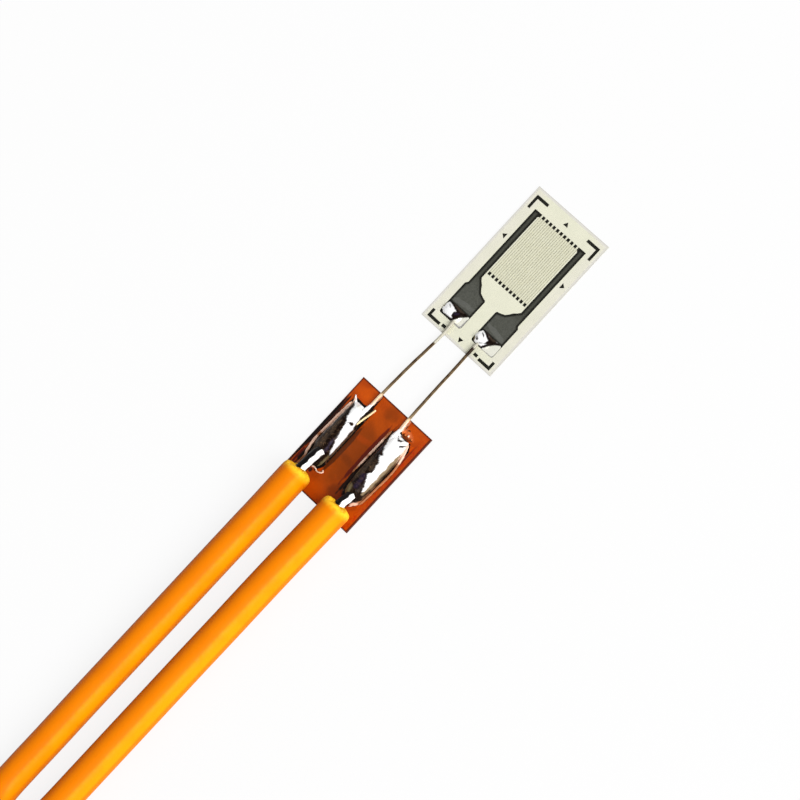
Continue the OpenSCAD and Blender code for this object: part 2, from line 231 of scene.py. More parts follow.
class Shade:
    """One material's nodes, added a call at a time; lengths are in millimetres."""

    # A stain's half height, large enough for any point over it to count as lying on it
    ANY_HEIGHT = 1000.0

    def __init__(self, name: str) -> None:
        """Starts from a plain shader, with the place on the part in millimetres at hand.

        Args:
            name: The material's name.
        """
        self.material = bpy.data.materials.new(name)
        self.material.use_nodes = True
        self.nodes = self.material.node_tree.nodes
        self.links = self.material.node_tree.links
        self.shader = self.nodes["Principled BSDF"]
        coordinates = self.add("ShaderNodeTexCoord").outputs["Object"]
        self.place = self.vector("SCALE", coordinates, scale=1 / MM)

    def add(self, kind: str, inputs: dict[str | int, Input] | None = None, **settings: str) -> bpy.types.Node:
        """Adds a node.

        Args:
            kind: Blender's name for the node.
            inputs: Values, or other nodes' outputs, for its sockets.
            settings: The node's own settings.

        Returns:
            The node.
        """
        node = self.nodes.new(kind)
        for name, value in settings.items():
            setattr(node, name, value)
        for key, value in (inputs or {}).items():
            self.feed(node.inputs[key], value)
        return node

    def feed(self, socket: Socket, value: Input) -> None:
        """Links an output to a socket, or sets the socket to a plain value.

        Args:
            socket: The socket.
            value: A number, a colour or a vector, or another node's output.
        """
        if isinstance(value, Socket):
            self.links.new(value, socket)
        else:
            socket.default_value = value

    def dress(self, **values: Input) -> bpy.types.Material:
        """Sets the shader's sockets; an underscore in a name stands for a space.

        Args:
            values: A value or an output for each socket, such as Base_Color.

        Returns:
            The material.
        """
        for name, value in values.items():
            self.feed(self.shader.inputs[name.replace("_", " ")], value)
        return self.material

    def vector(self, operation: str, a: Input, b: Input | None = None, scale: float | None = None) -> Socket:
        """A vector operation; LENGTH and DOT_PRODUCT give a number.

        Args:
            operation: Blender's name for the operation.
            a: The first vector.
            b: The second vector, where the operation takes two.
            scale: The factor, where the operation takes one.

        Returns:
            What the operation gives.
        """
        inputs = {0: a}
        if b is not None:
            inputs[1] = b
        if scale is not None:
            inputs["Scale"] = scale
        node = self.add("ShaderNodeVectorMath", inputs, operation=operation)
        return node.outputs["Value" if operation in ("LENGTH", "DOT_PRODUCT") else "Vector"]

    def sum(self, operation: str, a: Input, b: Input = 0.0) -> Socket:
        """What an operation such as ADD or ABSOLUTE makes of one or two numbers."""
        return self.add("ShaderNodeMath", {0: a, 1: b}, operation=operation).outputs[0]

    def mix(self, share: Input, a: Input, b: Input) -> Socket:
        """Mixes a share of colour b into colour a."""
        return self.add("ShaderNodeMix", {0: share, 6: a, 7: b}, data_type="RGBA").outputs[2]

    def layered(self, base: Input, *layers: tuple[Input, Colour]) -> Socket:
        """Lays colours over a base, in order, each after its share.

        Args:
            base: The colour below.
            layers: The share and the colour of each layer, from the lowest up.

        Returns:
            The colour that shows.
        """
        for share, colour in layers:
            base = self.mix(share, base, colour)
        return base

    def span(self, value: Input, low: float, high: float, first: float = 0.0, last: float = 1.0) -> Socket:
        """Spreads a value smoothly, so that low becomes first and high becomes last."""
        inputs = {0: value, 1: low, 2: high, 3: first, 4: last}
        return self.add("ShaderNodeMapRange", inputs, interpolation_type="SMOOTHSTEP").outputs[0]

    def cloud(self, scale: float, detail: float = 3.0, distortion: float = 0.0) -> Socket:
        """Noise from 0 to 1, of so many spots in a millimetre."""
        inputs = {"Vector": self.place, "Scale": scale, "Detail": detail, "Distortion": distortion}
        return self.add("ShaderNodeTexNoise", inputs).outputs[0]

    def turned(self, direction: Point3) -> Socket:
        """How far the surface is turned towards a direction, from -1 to 1."""
        normal = self.add("ShaderNodeNewGeometry").outputs["Normal"]
        return self.vector("DOT_PRODUCT", normal, direction)

    def axis(self, letter: str) -> Socket:
        """How far along X, Y or Z the point lies."""
        return self.add("ShaderNodeSeparateXYZ", {0: self.place}).outputs[letter]

    def outside(self, centre: Point2, half: Point2) -> Socket:
        """How far the point lies outside an upright oblong seen from above, or inside if negative.

        Args:
            centre: The oblong's middle.
            half: Half its length along X and half its width along Y.

        Returns:
            The distance.
        """
        across = [
            self.sum("SUBTRACT", self.sum("ABSOLUTE", self.sum("SUBTRACT", self.axis(a), c)), h)
            for a, c, h in zip("XY", centre, half, strict=True)
        ]
        return self.sum("MAXIMUM", across[0], across[1])

    def folded(self) -> Socket:
        """The place with both sides of the part laid on the +Y side.

        Returns:
            The place, with its Y made positive and no height.
        """
        split = self.add("ShaderNodeSeparateXYZ", {0: self.place}).outputs
        away = self.sum("ABSOLUTE", split["Y"])
        return self.add("ShaderNodeCombineXYZ", {0: split["X"], 1: away}).outputs[0]

    def left_of(self, place: Input, start: Point2, end: Point2) -> Socket:
        """How far a place lies to the left of the line from start to end, seen from above.

        Args:
            place: The place.
            start: One point of the line.
            end: Another point of it.

        Returns:
            The distance, negative to the right of the line.
        """
        run = Vector(end) - Vector(start)
        across = Vector((-run.y, run.x, 0.0)).normalized()
        return self.sum("SUBTRACT", self.vector("DOT_PRODUCT", place, across), across.xy.dot(Vector(start)))

    def spot(self, stain: Stain) -> Socket:
        """How much of a stain each point gets: 1 inside it and 0 outside.

        Args:
            stain: The stain.

        Returns:
            The share.
        """
        inputs = {
            "Vector": self.place,
            "Location": (*stain.centre, 0.0),
            "Rotation": (0.0, 0.0, math.radians(stain.angle)),
            "Scale": (*stain.radii, self.ANY_HEIGHT),
        }
        away = self.vector("LENGTH", self.add("ShaderNodeMapping", inputs, vector_type="TEXTURE").outputs[0])
        wander = self.sum("MULTIPLY", self.sum("SUBTRACT", self.cloud(4.0, 4.0), 0.5), 2 * stain.ragged)
        return self.span(self.sum("ADD", away, wander), 1 - stain.soft, 1 + stain.soft, 1.0, 0.0)

    def stained(self, base: Input, stains: Sequence[Stain]) -> Socket:
        """Lays stains over a colour, in order."""
        return self.layered(base, *((self.sum("MULTIPLY", self.spot(s), s.depth), s.colour) for s in stains))

    def bump(self, height: Input, depth: float, strength: Input = 1.0) -> None:
        """Roughens the surface by a height from 0 to 1, of that depth in millimetres."""
        node = self.add("ShaderNodeBump", {"Height": height, "Distance": depth * MM, "Strength": strength})
        self.feed(self.shader.inputs["Normal"], node.outputs[0])


@dataclass(frozen=True)
class FilmFinish:
    """The pale carrier film, greyer at the rim that the cover film leaves bare and browner under the grid."""

    covered: Colour = tint(229, 228, 206)
    rim: Colour = tint(219, 216, 208)
    edge: Colour = tint(186, 182, 176)
    beside_bars: Colour = tint(227, 223, 210)
    under_grid: Colour = tint(217, 215, 188)
    mottle: Colour = tint(206, 208, 184)
    grain: Colour = tint(244, 243, 230)
    middle: Point2 = (-1.06, 0.0)
    cover_half: Point2 = (3.3, 2.0)
    grid_half: Point2 = (1.5, 1.14)

    def make(self) -> bpy.types.Material:
        """Builds the material.

        Returns:
            The material.
        """
        shade = Shade("carrier_film")
        past_cover = shade.outside(self.middle, self.cover_half)
        in_grid = shade.span(shade.outside((0.0, 0.0), self.grid_half), -0.06, 0.04, 1.0, 0.0)
        worked = shade.span(shade.cloud(5.0, 4.0, 0.5), 0.3, 0.7, 0.55, 1.0)
        base = shade.layered(
            self.covered,
            (shade.span(shade.sum("ABSOLUTE", shade.axis("Y")), 1.5, 1.7, 0.0, 0.6), self.beside_bars),
            (shade.span(past_cover, -0.02, 0.02), self.rim),
            (shade.span(past_cover, 0.06, 0.1, 0.0, 0.8), self.edge),
            (shade.sum("MULTIPLY", in_grid, worked), self.under_grid),
            (shade.span(shade.cloud(1.6, 5.0), 0.35, 0.65, 0.0, 0.16), self.mottle),
            (shade.span(shade.cloud(26.0, 2.0), 0.3, 0.7, 0.0, 0.1), self.grain),
        )
        shade.bump(shade.cloud(9.0, 3.0), 0.004)
        return shade.dress(Base_Color=base, Roughness=0.42, IOR=1.5, Specular_IOR_Level=0.4)


@dataclass(frozen=True)
class CoverFinish:
    """The clear cover film: a thin milky veil with a soft shine."""

    colour: Colour = tint(236, 234, 214)
    milky: Colour = tint(226, 226, 206)
    veil: float = 0.012

    def make(self) -> bpy.types.Material:
        """Builds the material.

        Returns:
            The material.
        """
        shade = Shade("cover_film")
        wavy = shade.span(shade.cloud(1.1, 2.0), 0.3, 0.7, 0.22, 0.38)
        base = shade.mix(shade.cloud(3.0), self.colour, self.milky)
        shade.bump(shade.cloud(3.5, 3.0), 0.003)
        return shade.dress(Base_Color=base, Roughness=wavy, Alpha=self.veil, IOR=1.5)


@dataclass(frozen=True)
class FoilFinish:
    """The etched foil: slate grey, near black along its outline, with a paler band over the tabs.

    The outline's points are those of the +Y side, in millimetres.
    """

    body: Colour = tint(87, 88, 81)
    worn: Colour = tint(76, 77, 71)
    rim: Colour = tint(7, 7, 4)
    pale: Colour = tint(106, 107, 102)
    bar: Colour = tint(60, 61, 52)
    filament: Colour = tint(186, 184, 160)
    tab_x: Point2 = (-3.9, -2.4)
    tab_y: Point2 = (0.335, 1.615)
    bar_y: Point2 = (1.2055, 1.5255)
    bar_end: float = 1.57
    neck: tuple[Point2, ...] = ((-2.41, 0.41), (-2.3, 0.737), (-1.82, 1.2055))
    shoulder: tuple[Point2, ...] = ((-2.3, 1.5255), (-2.4, 1.615))
    filaments_half: Point2 = (1.43, 1.15)
    solder_edge: float = -3.29

    def make(self) -> bpy.types.Material:
        """Builds the material.

        Returns:
            The material.
        """
        shade = Shade("etched_foil")
        drawn = shade.cloud(14.0, 4.0, 0.4)
        base = shade.layered(
            self.body,
            (shade.span(drawn, 0.35, 0.7), self.worn),
            (shade.span(shade.axis("X"), -2.4, -1.7, 0.0, 0.7), self.bar),
        )
        in_grid = shade.outside((0.0, 0.0), self.filaments_half)
        beside = shade.sum("ABSOLUTE", shade.sum("SUBTRACT", shade.axis("X"), self.solder_edge))
        base = shade.layered(
            shade.stained(base, self._bands()),
            (shade.span(self._depth(shade), 0.05, 0.14, 1.0, 0.0), self.rim),
            (shade.span(beside, 0.02, 0.07, 0.9, 0.0), self.rim),
            (shade.span(in_grid, -0.01, 0.01, 1.0, 0.0), self.filament),
        )
        shade.bump(drawn, 0.002)
        return shade.dress(Base_Color=base, Metallic=0.2, Roughness=0.5, Specular_IOR_Level=0.15)

    def _bands(self) -> Sequence[Stain]:
        """The paler band over each tab, beside its solder.

        Returns:
            A stain for each tab.
        """
        x = self.solder_edge + 0.22
        return (
            Stain((x, 0.95), (0.11, 0.62), 6, self.pale, 0.6, ragged=0.5),
            Stain((x, -0.95), (0.11, 0.62), -8, self.pale, 0.6, ragged=0.5),
        )

    def _depth(self, shade: Shade) -> Socket:
        """How far a point lies inside the outline of a bar and its tab.

        Args:
            shade: The foil's nodes.

        Returns:
            The distance to the outline, negative outside it.
        """
        place = shade.folded()
        split = shade.add("ShaderNodeSeparateXYZ", {0: place}).outputs
        (low, high), (bar_low, bar_high) = self.tab_y, self.bar_y
        inner = shade.sum("SUBTRACT", split["Y"], bar_low)
        for start, end in zip(self.neck[:-1], self.neck[1:], strict=True):
            inner = shade.sum("MAXIMUM", inner, shade.left_of(place, start, end))
        outer = shade.sum("SUBTRACT", bar_high, split["Y"])
        outer = shade.sum("MAXIMUM", outer, shade.left_of(place, *self.shoulder))
        walls = (
            outer,
            shade.sum("SUBTRACT", split["Y"], low),
            shade.sum("SUBTRACT", high, split["Y"]),
            shade.sum("SUBTRACT", split["X"], self.tab_x[0]),
            shade.sum("SUBTRACT", self.bar_end, split["X"]),
        )
        depth = inner
        for wall in walls:
            depth = shade.sum("MINIMUM", depth, wall)
        return depth


@dataclass(frozen=True)
class MarkFinish:
    """The etched alignment marks, almost black."""

    colour: Colour = tint(8, 8, 5)
    worn: Colour = tint(26, 26, 20)

    def make(self) -> bpy.types.Material:
        """Builds the material.

        Returns:
            The material.
        """
        shade = Shade("etched_mark")
        base = shade.mix(shade.span(shade.cloud(18.0), 0.3, 0.7, 0.0, 0.6), self.colour, self.worn)
        return shade.dress(Base_Color=base, Roughness=0.55, Specular_IOR_Level=0.1)


@dataclass(frozen=True)
class BoardFinish:
    """The orange-brown board, dark along its edges, with burnt flux and painted shade round the joints."""

    light: Colour = tint(208, 84, 0)
    bright: Colour = tint(194, 76, 0)
    deep: Colour = tint(170, 62, 0)
    olive: Colour = tint(132, 55, 0)
    red: Colour = tint(178, 26, 0)
    rim: Colour = tint(66, 18, 4)
    # burnt, brown and maroon are burnt flux and also serve as painted shade round the joints
    burnt: Colour = tint(12, 8, 6)
    brown: Colour = tint(78, 34, 6)
    maroon: Colour = tint(84, 14, 12)
    glint: Colour = tint(222, 122, 72)
    middle: Point2 = (-10.24, -0.04)
    half: Point2 = (2.45, 2.1)

    def make(self) -> bpy.types.Material:
        """Builds the material.

        Returns:
            The material.
        """
        shade = Shade("terminal_board")
        base = shade.mix(shade.span(shade.cloud(0.9, 4.0, 0.6), 0.38, 0.62), self.bright, self.deep)
        streak = shade.span(shade.cloud(6.0, 3.0, 2.0), 0.5, 0.6, 0.0, 0.6)
        above = shade.sum("SUBTRACT", 1.0, shade.span(shade.axis("Y"), -1.95, -1.75))
        base = shade.layered(
            shade.stained(base, self._worn_places()),
            (shade.sum("MULTIPLY", streak, above), self.red),
            (shade.span(shade.outside(self.middle, self.half), -0.09, -0.02, 0.0, 0.92), self.rim),
        )
        base = shade.stained(base, self._flux_and_shade_places())
        shade.bump(shade.cloud(5.0, 5.0), 0.01, 0.6)
        return shade.dress(
            Base_Color=base, Roughness=0.5, Specular_IOR_Level=0.15, Coat_Weight=0.06, Coat_Roughness=0.25
        )

    def _worn_places(self) -> Sequence[Stain]:
        """The broad, faint changes of colour between the joints.

        Returns:
            Their stains, in the order in which they are laid.
        """
        return (
            Stain((-10.2, 0.05), (1.9, 0.75), 0, self.olive, 0.85, 0.6),
            Stain((-11.8, -0.55), (0.55, 0.3), -55, self.brown, 0.45, 0.4),
            Stain((-9.6, 0.1), (0.12, 0.5), 8, self.deep, 0.5, 0.5),
            Stain((-10.6, 0.1), (0.15, 0.5), -6, self.brown, 0.3, 0.6),
            Stain((-8.75, 0.05), (0.55, 0.22), 52, self.light, 0.3, 0.6),
            Stain((-12.45, 0.15), (0.45, 0.7), 0, self.bright, 0.95, 0.5),
            Stain((-12.0, -2.0), (1.5, 0.25), 0, self.bright, 0.6, 0.6),
            Stain((-8.2, 1.5), (0.22, 0.42), 0, self.light, 0.5, 0.5),
            Stain((-8.1, -0.1), (0.3, 0.4), 20, self.olive, 0.45, 0.5),
        )

    def _flux_and_shade_places(self) -> Sequence[Stain]:
        """Where flux has run out from under the joints and burnt, with painted shade along the joints' feet
        and a painted glint by the second joint.

        Returns:
            Their stains, in the order in which they are laid.
        """
        return (
            # Painted shade on the board under the first joint and above the second
            Stain((-10.4, 0.53), (1.15, 0.13), 0, self.brown, 0.9),
            Stain((-10.0, -0.4), (1.45, 0.1), 0, self.maroon, 0.85),
            # Along the first joint's far foot and the board's edge: burnt flux with painted shade
            Stain((-10.0, 1.9), (1.4, 0.08), 0, self.burnt, 0.95),
            Stain((-10.4, 1.99), (1.75, 0.06), 0, self.burnt, 1.0),
            Stain((-11.75, 1.86), (0.42, 0.06), 0, self.maroon, 0.9),
            Stain((-10.45, 1.72), (1.7, 0.12), 0, self.burnt, 0.98),
            Stain((-11.9, 1.5), (0.42, 0.11), 0, self.burnt, 0.98),
            Stain((-11.45, 0.86), (0.3, 0.17), 12, self.burnt, 0.95),
            Stain((-11.85, 0.98), (0.1, 0.08), 0, self.burnt, 0.9),
            Stain((-10.1, -0.61), (1.7, 0.1), 0, self.burnt, 0.97),
            Stain((-11.65, -0.95), (0.14, 0.28), -20, self.burnt, 0.85),
            Stain((-9.9, -1.84), (1.5, 0.05), -1, self.maroon, 0.7),
            Stain((-8.42, -1.2), (0.1, 0.34), 8, self.brown, 0.8),
            Stain((-8.24, -1.2), (0.1, 0.32), -14, self.glint, 0.75, 0.6),
        )


@dataclass(frozen=True)
class CopperFinish:
    """Bare copper wire, with a brown painted shade on the side away from the window."""

    name: str
    clean: Colour = tint(252, 224, 184)
    reddish: Colour = tint(240, 196, 158)
    # brown is a painted shade, laid on the side turned away from the window
    brown: Colour = tint(66, 46, 34)
    shade_strength: float = 0.95
    shade_from: Point2 = (0.1, 0.6)
    away: Point3 = (0.0, 0.83, 0.56)

    def make(self) -> bpy.types.Material:
        """Builds the material.

        Returns:
            The material.
        """
        shade = Shade(self.name)
        base = self.colour(shade)
        shade.bump(shade.cloud(30.0, 2.0), 0.003)
        return shade.dress(Base_Color=base, Metallic=0.1, Roughness=0.4, Specular_IOR_Level=0.1)

    def colour(self, shade: Shade) -> Socket:
        """The wire's colour all along it."""
        return shade.mix(self.shade_share(shade), self.warm(shade), self.brown)

    def warm(self, shade: Shade) -> Socket:
        """Clean copper, redder in patches."""
        return shade.mix(shade.span(shade.cloud(2.5), 0.4, 0.7, 0.0, 0.6), self.clean, self.reddish)

    def shade_share(self, shade: Shade) -> Socket:
        """How much brown painted shade each point gets, by how far it is turned away from the window."""
        behind = shade.span(shade.turned(self.away), *self.shade_from, 0.0, self.shade_strength)
        return shade.sum("MULTIPLY", behind, shade.span(shade.cloud(5.0, 3.0), 0.3, 0.7, 0.92, 1.0))


@dataclass(frozen=True)
class LeadFinish(CopperFinish):
    """A gauge lead: warm over the board; over the gap, brown painted shade with a pale painted highlight on
    the edge facing the window; and stained over the film.
    """

    side: int = 1
    # brown is a painted shade on the side away from the window
    brown: Colour = tint(62, 45, 25)
    shade_strength: float = 1.0
    shade_from: Point2 = (-0.96, -0.78)
    board_edge: float = -7.79
    # pale is a painted highlight on the edge that faces the window, over the gap
    pale: Colour = tint(246, 214, 164)
    film_edge: Point2 = (-4.95, -4.5)
    bleached: Colour = tint(188, 184, 168)
    burnt: Colour = tint(38, 25, 18)
    burnt_end: float = -4.07

    def colour(self, shade: Shade) -> Socket:
        """The lead's colour all along it.

        Args:
            shade: The lead's nodes.

        Returns:
            The colour.
        """
        x = shade.axis("X")
        board = self.board_edge
        over_gap = shade.span(x, board - 0.1, board + 0.1)
        # Over the gap: a pale painted highlight on the edge facing the window, and brown painted shade over
        # the rest
        clean = shade.mix(over_gap, self.warm(shade), self.pale)
        share = shade.sum("MULTIPLY", self.shade_share(shade), shade.span(over_gap, 0.0, 1.0, 0.2, 1.0))
        share = shade.sum("MULTIPLY", share, shade.span(x, board, board + 0.9, 0.85, 1.0))
        base = shade.mix(share, clean, self.brown)
        edge = self.film_edge[self.side - 1]
        if self.side == 2:
            base = shade.mix(shade.span(x, edge - 0.1, edge + 0.1, 0.0, 0.9), base, self.burnt)
            edge = self.burnt_end
        return shade.mix(shade.span(x, edge - 0.04, edge + 0.04, 0.0, 0.9), base, self.bleached)


@dataclass(frozen=True)
class PadFinish:
    """A copper pad under burnt flux; beyond the joint it is lacquered as orange as the board."""

    flux: Colour = tint(12, 9, 8)
    copper: Colour = tint(110, 66, 46)
    lacquer: Colour = tint(186, 70, 0)
    brown: Colour = tint(120, 50, 6)

    def make(self) -> bpy.types.Material:
        """Builds the material.

        Returns:
            The material.
        """
        shade = Shade("fluxed_pad")
        bare = shade.span(shade.cloud(6.0, 5.0, 1.0), 0.6, 0.68, 0.0, 0.6)
        base = shade.mix(bare, self.flux, self.copper)
        base = shade.stained(base, self._clean_places())
        shade.bump(shade.cloud(8.0, 4.0), 0.012)
        return shade.dress(Base_Color=base, Roughness=0.5, Specular_IOR_Level=0.15)

    def _clean_places(self) -> Sequence[Stain]:
        """The ends and corners of the pads, clear of the joints.

        Returns:
            Their stains, in the order in which they are laid.
        """
        return (
            Stain((-8.4, 1.3), (0.16, 0.5), 0, self.lacquer, 1.0),
            Stain((-11.72, 0.62), (0.3, 0.14), -20, self.lacquer, 0.9),
            Stain((-11.75, 1.0), (0.1, 0.3), 0, self.brown, 0.8),
            Stain((-11.66, -1.75), (0.42, 0.2), -35, self.lacquer, 1.0),
            Stain((-8.4, -1.78), (0.55, 0.16), 24, self.lacquer, 1.0),
            Stain((-11.75, -0.75), (0.25, 0.12), 45, self.brown, 0.9),
        )


@dataclass(frozen=True)
class TinFinish:
    """Tinned copper: white, with painted shade on the side away from the window and on its underside."""

    name: str
    bright: Colour = tint(252, 252, 250)
    dull: Colour = tint(176, 170, 160)
    shadow: Colour = tint(16, 13, 13)
    shading: float = 1.0
    away: Point3 = (0.0, 0.86, 0.51)
    down: Point3 = (0.0, 0.0, -1.0)

    def make(self) -> bpy.types.Material:
        """Builds the material.

        Returns:
            The material.
        """
        shade = Shade(self.name)
        base = shade.mix(shade.span(shade.cloud(7.0, 3.0, 0.8), 0.58, 0.72, 0.0, 0.5), self.bright, self.dull)
        # Painted shade on the side turned away from the window and on the side facing down
        behind = shade.span(shade.turned(self.away), -0.05, 0.12, 0.0, self.shading)
        under = shade.span(shade.turned(self.down), -0.12, 0.08, 0.0, self.shading)
        base = shade.mix(shade.sum("MAXIMUM", behind, under), base, self.shadow)
        shade.bump(shade.cloud(12.0, 3.0), 0.008)
        return shade.dress(Base_Color=base, Metallic=0.08, Roughness=0.4, Specular_IOR_Level=0.1)


@dataclass(frozen=True)
class SolderFinish:
    """Solder whose colour and dullness follow the strokes that are painted on it: flux, and painted
    highlights and reflections.
    """

    name: str
    grain: float = 12.0
    metal: float = 0.06
    flux: Colour = tint(122, 94, 68)
    pits: Colour = tint(16, 8, 6)

    def make(self) -> bpy.types.Material:
        """Builds the material.

        Returns:
            The material.
        """
        shade = Shade(self.name)
        tone = shade.add("ShaderNodeAttribute", attribute_name="tone").outputs["Color"]
        dull = shade.add("ShaderNodeAttribute", attribute_name="dull").outputs["Fac"]
        speck = shade.span(shade.cloud(self.grain, 5.0, 1.2), 0.5, 0.66)
        fluxed = shade.span(dull, 0.1, 0.6, 0.0, 0.6)
        base = shade.mix(shade.sum("MULTIPLY", speck, fluxed), tone, self.flux)
        pit = shade.span(shade.cloud(self.grain * 0.6, 4.0, 0.6), 0.3, 0.42, 1.0, 0.0)
        base = shade.mix(shade.sum("MULTIPLY", pit, shade.sum("MULTIPLY", dull, 0.8)), base, self.pits)
        shine = shade.span(dull, 0.0, 1.0, 0.2, 0.5)
        shade.bump(shade.cloud(self.grain * 0.8, 4.0, 0.6), 0.04, shade.span(dull, 0.0, 1.0, 0.12, 0.6))
        sheen = shade.span(dull, 0.05, 0.3, 0.12, 0.04)
        return shade.dress(Base_Color=base, Metallic=self.metal, Roughness=shine, Specular_IOR_Level=sheen)


@dataclass(frozen=True)
class InsulationFinish:
    """The wires' orange insulation, with painted highlight and shade by the window, paler where its end was
    cut and pulled.

    Near the board, the side away from the window also gets a brown painted shade; the hank gets none.
    """

    # Painted light by facing the window: lit is a painted highlight, body the lit side, deep the side away;
    # brown is a painted shade
    lit: Colour = tint(236, 152, 0)
    body: Colour = tint(230, 124, 0)
    deep: Colour = tint(216, 108, 0)
    brown: Colour = tint(96, 46, 8)
    cut: Colour = tint(255, 198, 40)
    cut_from: float = -12.5
    cut_to: float = -12.16
    shaded_to: float = -29.0
    window: Point3 = (0.0, -0.87, 0.493)

    def make(self) -> bpy.types.Material:
        """Builds the material.

        Returns:
            The material.
        """
        shade = Shade("wire_insulation")
        lit = shade.turned(self.window)
        x = shade.axis("X")
        shade_stretch = shade.span(x, self.shaded_to - 4.0, self.shaded_to, 0.12, 0.85)
        away = shade.span(lit, -0.5, 0.0, 1.0, 0.0)
        ragged = shade.span(shade.cloud(5.0, 3.0), 0.3, 0.6, 0.5, 1.0)
        # Painted shade and highlight by how far the surface faces the window, then random darker patches and
        # the pale cut end
        base = shade.layered(
            self.deep,
            (shade.sum("MULTIPLY", away, shade_stretch), self.brown),
            (shade.span(lit, 0.0, 0.55), self.body),
            (shade.span(lit, 0.88, 0.98, 0.0, 0.95), self.lit),
            (shade.span(shade.cloud(0.8, 3.0, 0.3), 0.4, 0.7, 0.0, 0.22), self.deep),
            (shade.sum("MULTIPLY", shade.span(x, self.cut_from, self.cut_to), ragged), self.cut),
        )
        scuffed = shade.span(shade.cloud(6.0, 5.0), 0.35, 0.75, 0.42, 0.6)
        shade.bump(shade.cloud(5.0, 3.0), 0.008, 0.6)
        return shade.dress(Base_Color=base, Roughness=scuffed, IOR=1.46, Specular_IOR_Level=0.08)


@dataclass(frozen=True)
class TapeFinish:
    """Flat waxed lacing tape in a plain weave."""

    colour: Colour = tint(246, 242, 230)
    shadow: Colour = tint(204, 197, 178)
    threads: float = 5.5

    def make(self) -> bpy.types.Material:
        """Builds the material.

        Returns:
            The material.
        """
        shade = Shade("lacing_tape")
        inputs = {"Vector": shade.place, "Scale": self.threads, "Distortion": 0.6, "Detail": 1.0}
        warp, weft = (
            shade.add("ShaderNodeTexWave", inputs, bands_direction=direction).outputs["Fac"]
            for direction in ("X", "DIAGONAL")
        )
        weave = shade.sum("MULTIPLY", warp, weft)
        base = shade.mix(shade.span(weave, 0.1, 0.6), self.shadow, self.colour)
        shade.bump(weave, 0.04)
        return shade.dress(Base_Color=base, Roughness=0.6, Sheen_Weight=0.2)


class Tone(Enum):
    """What solder looks like under one stroke: its colour, and how dull it is from 0 to 1."""

    # A painted highlight: white where the solder mirrors the lamp
    HIGHLIGHT = (tint(254, 254, 254), 0.0)
    # A paler painted reflection
    PALE = (tint(230, 229, 216), 0.15)
    BEIGE = (tint(142, 124, 96), 0.4)
    GREY = (tint(150, 148, 148), 0.3)
    ASH = (tint(64, 52, 42), 0.85)
    UMBER = (tint(86, 60, 42), 0.6)
    # Bare copper lightened by a painted glint
    PINK = (tint(246, 206, 182), 0.1)
    OLIVE = (tint(120, 108, 76), 0.5)
    # Flux lightened by a painted glint
    AMBER = (tint(214, 118, 58), 0.4)
    COPPER = (tint(176, 112, 74), 0.4)
    # NAVY and BLACK: burnt flux with painted reflection of the dark surroundings
    NAVY = (tint(38, 30, 46), 0.3)
    BLACK = (tint(22, 13, 9), 0.3)

    def __init__(self, colour: Colour, dullness: float) -> None:
        """Gives the two halves of a tone their names."""
        self.colour = colour
        self.dullness = dullness


@dataclass(frozen=True)
class Stroke:
    """A painted line on solder, or a filled patch, in millimetres.

    Each point is its place and half the stroke's width there. Places are laid on slantwise, the way
    the photograph looks down: a point shows further towards +Y by its height times Stroke.RISE.
    """

    tone: Tone
    points: Sequence[Point3]
    soft: float
    filled: bool = False

    RISE = 0.608

    def cover(self, places: np.ndarray, wander: np.ndarray) -> np.ndarray:
        """How much of the stroke each place gets.

        Args:
            places: Places in the plane.
            wander: How far the edge is moved at each place.

        Returns:
            A share from 0 to 1 for each place.
        """
        line = np.array(self.points, float)
        if self.filled or len(line) == 1:
            line = np.vstack([line, line[:1]])
        best = np.full(len(places), np.inf)
        inside = np.zeros(len(places), bool)
        for a, b in zip(line[:-1], line[1:], strict=True):
            run = b[:2] - a[:2]
            t = np.clip((places - a[:2]) @ run / max(run @ run, 1e-9), 0, 1)
            gap = np.linalg.norm(places - a[:2] - t[:, None] * run, axis=1) - (a[2] + t * (b[2] - a[2]))
            best = np.minimum(best, gap)
            if a[1] != b[1]:
                beside = (a[1] > places[:, 1]) != (b[1] > places[:, 1])
                inside ^= beside & (places[:, 0] < a[0] + (places[:, 1] - a[1]) * run[0] / run[1])
        if self.filled:
            best = np.where(inside, -np.abs(best), best)
        return smoothstep(0.5 - (best + wander) / self.soft / 2)


def line(tone: Tone, soft: float, *points: Point3) -> Stroke:
    """A line through points, each given with half the line's width there."""
    return Stroke(tone, points, soft)


def patch(tone: Tone, soft: float, *corners: Point2) -> Stroke:
    """A filled patch with the given corners."""
    return Stroke(tone, [(x, y, 0.0) for x, y in corners], soft, filled=True)


class Way(Enum):
    """Which way a mound's stations run."""

    ALONG_X = 0
    ALONG_Y = 1


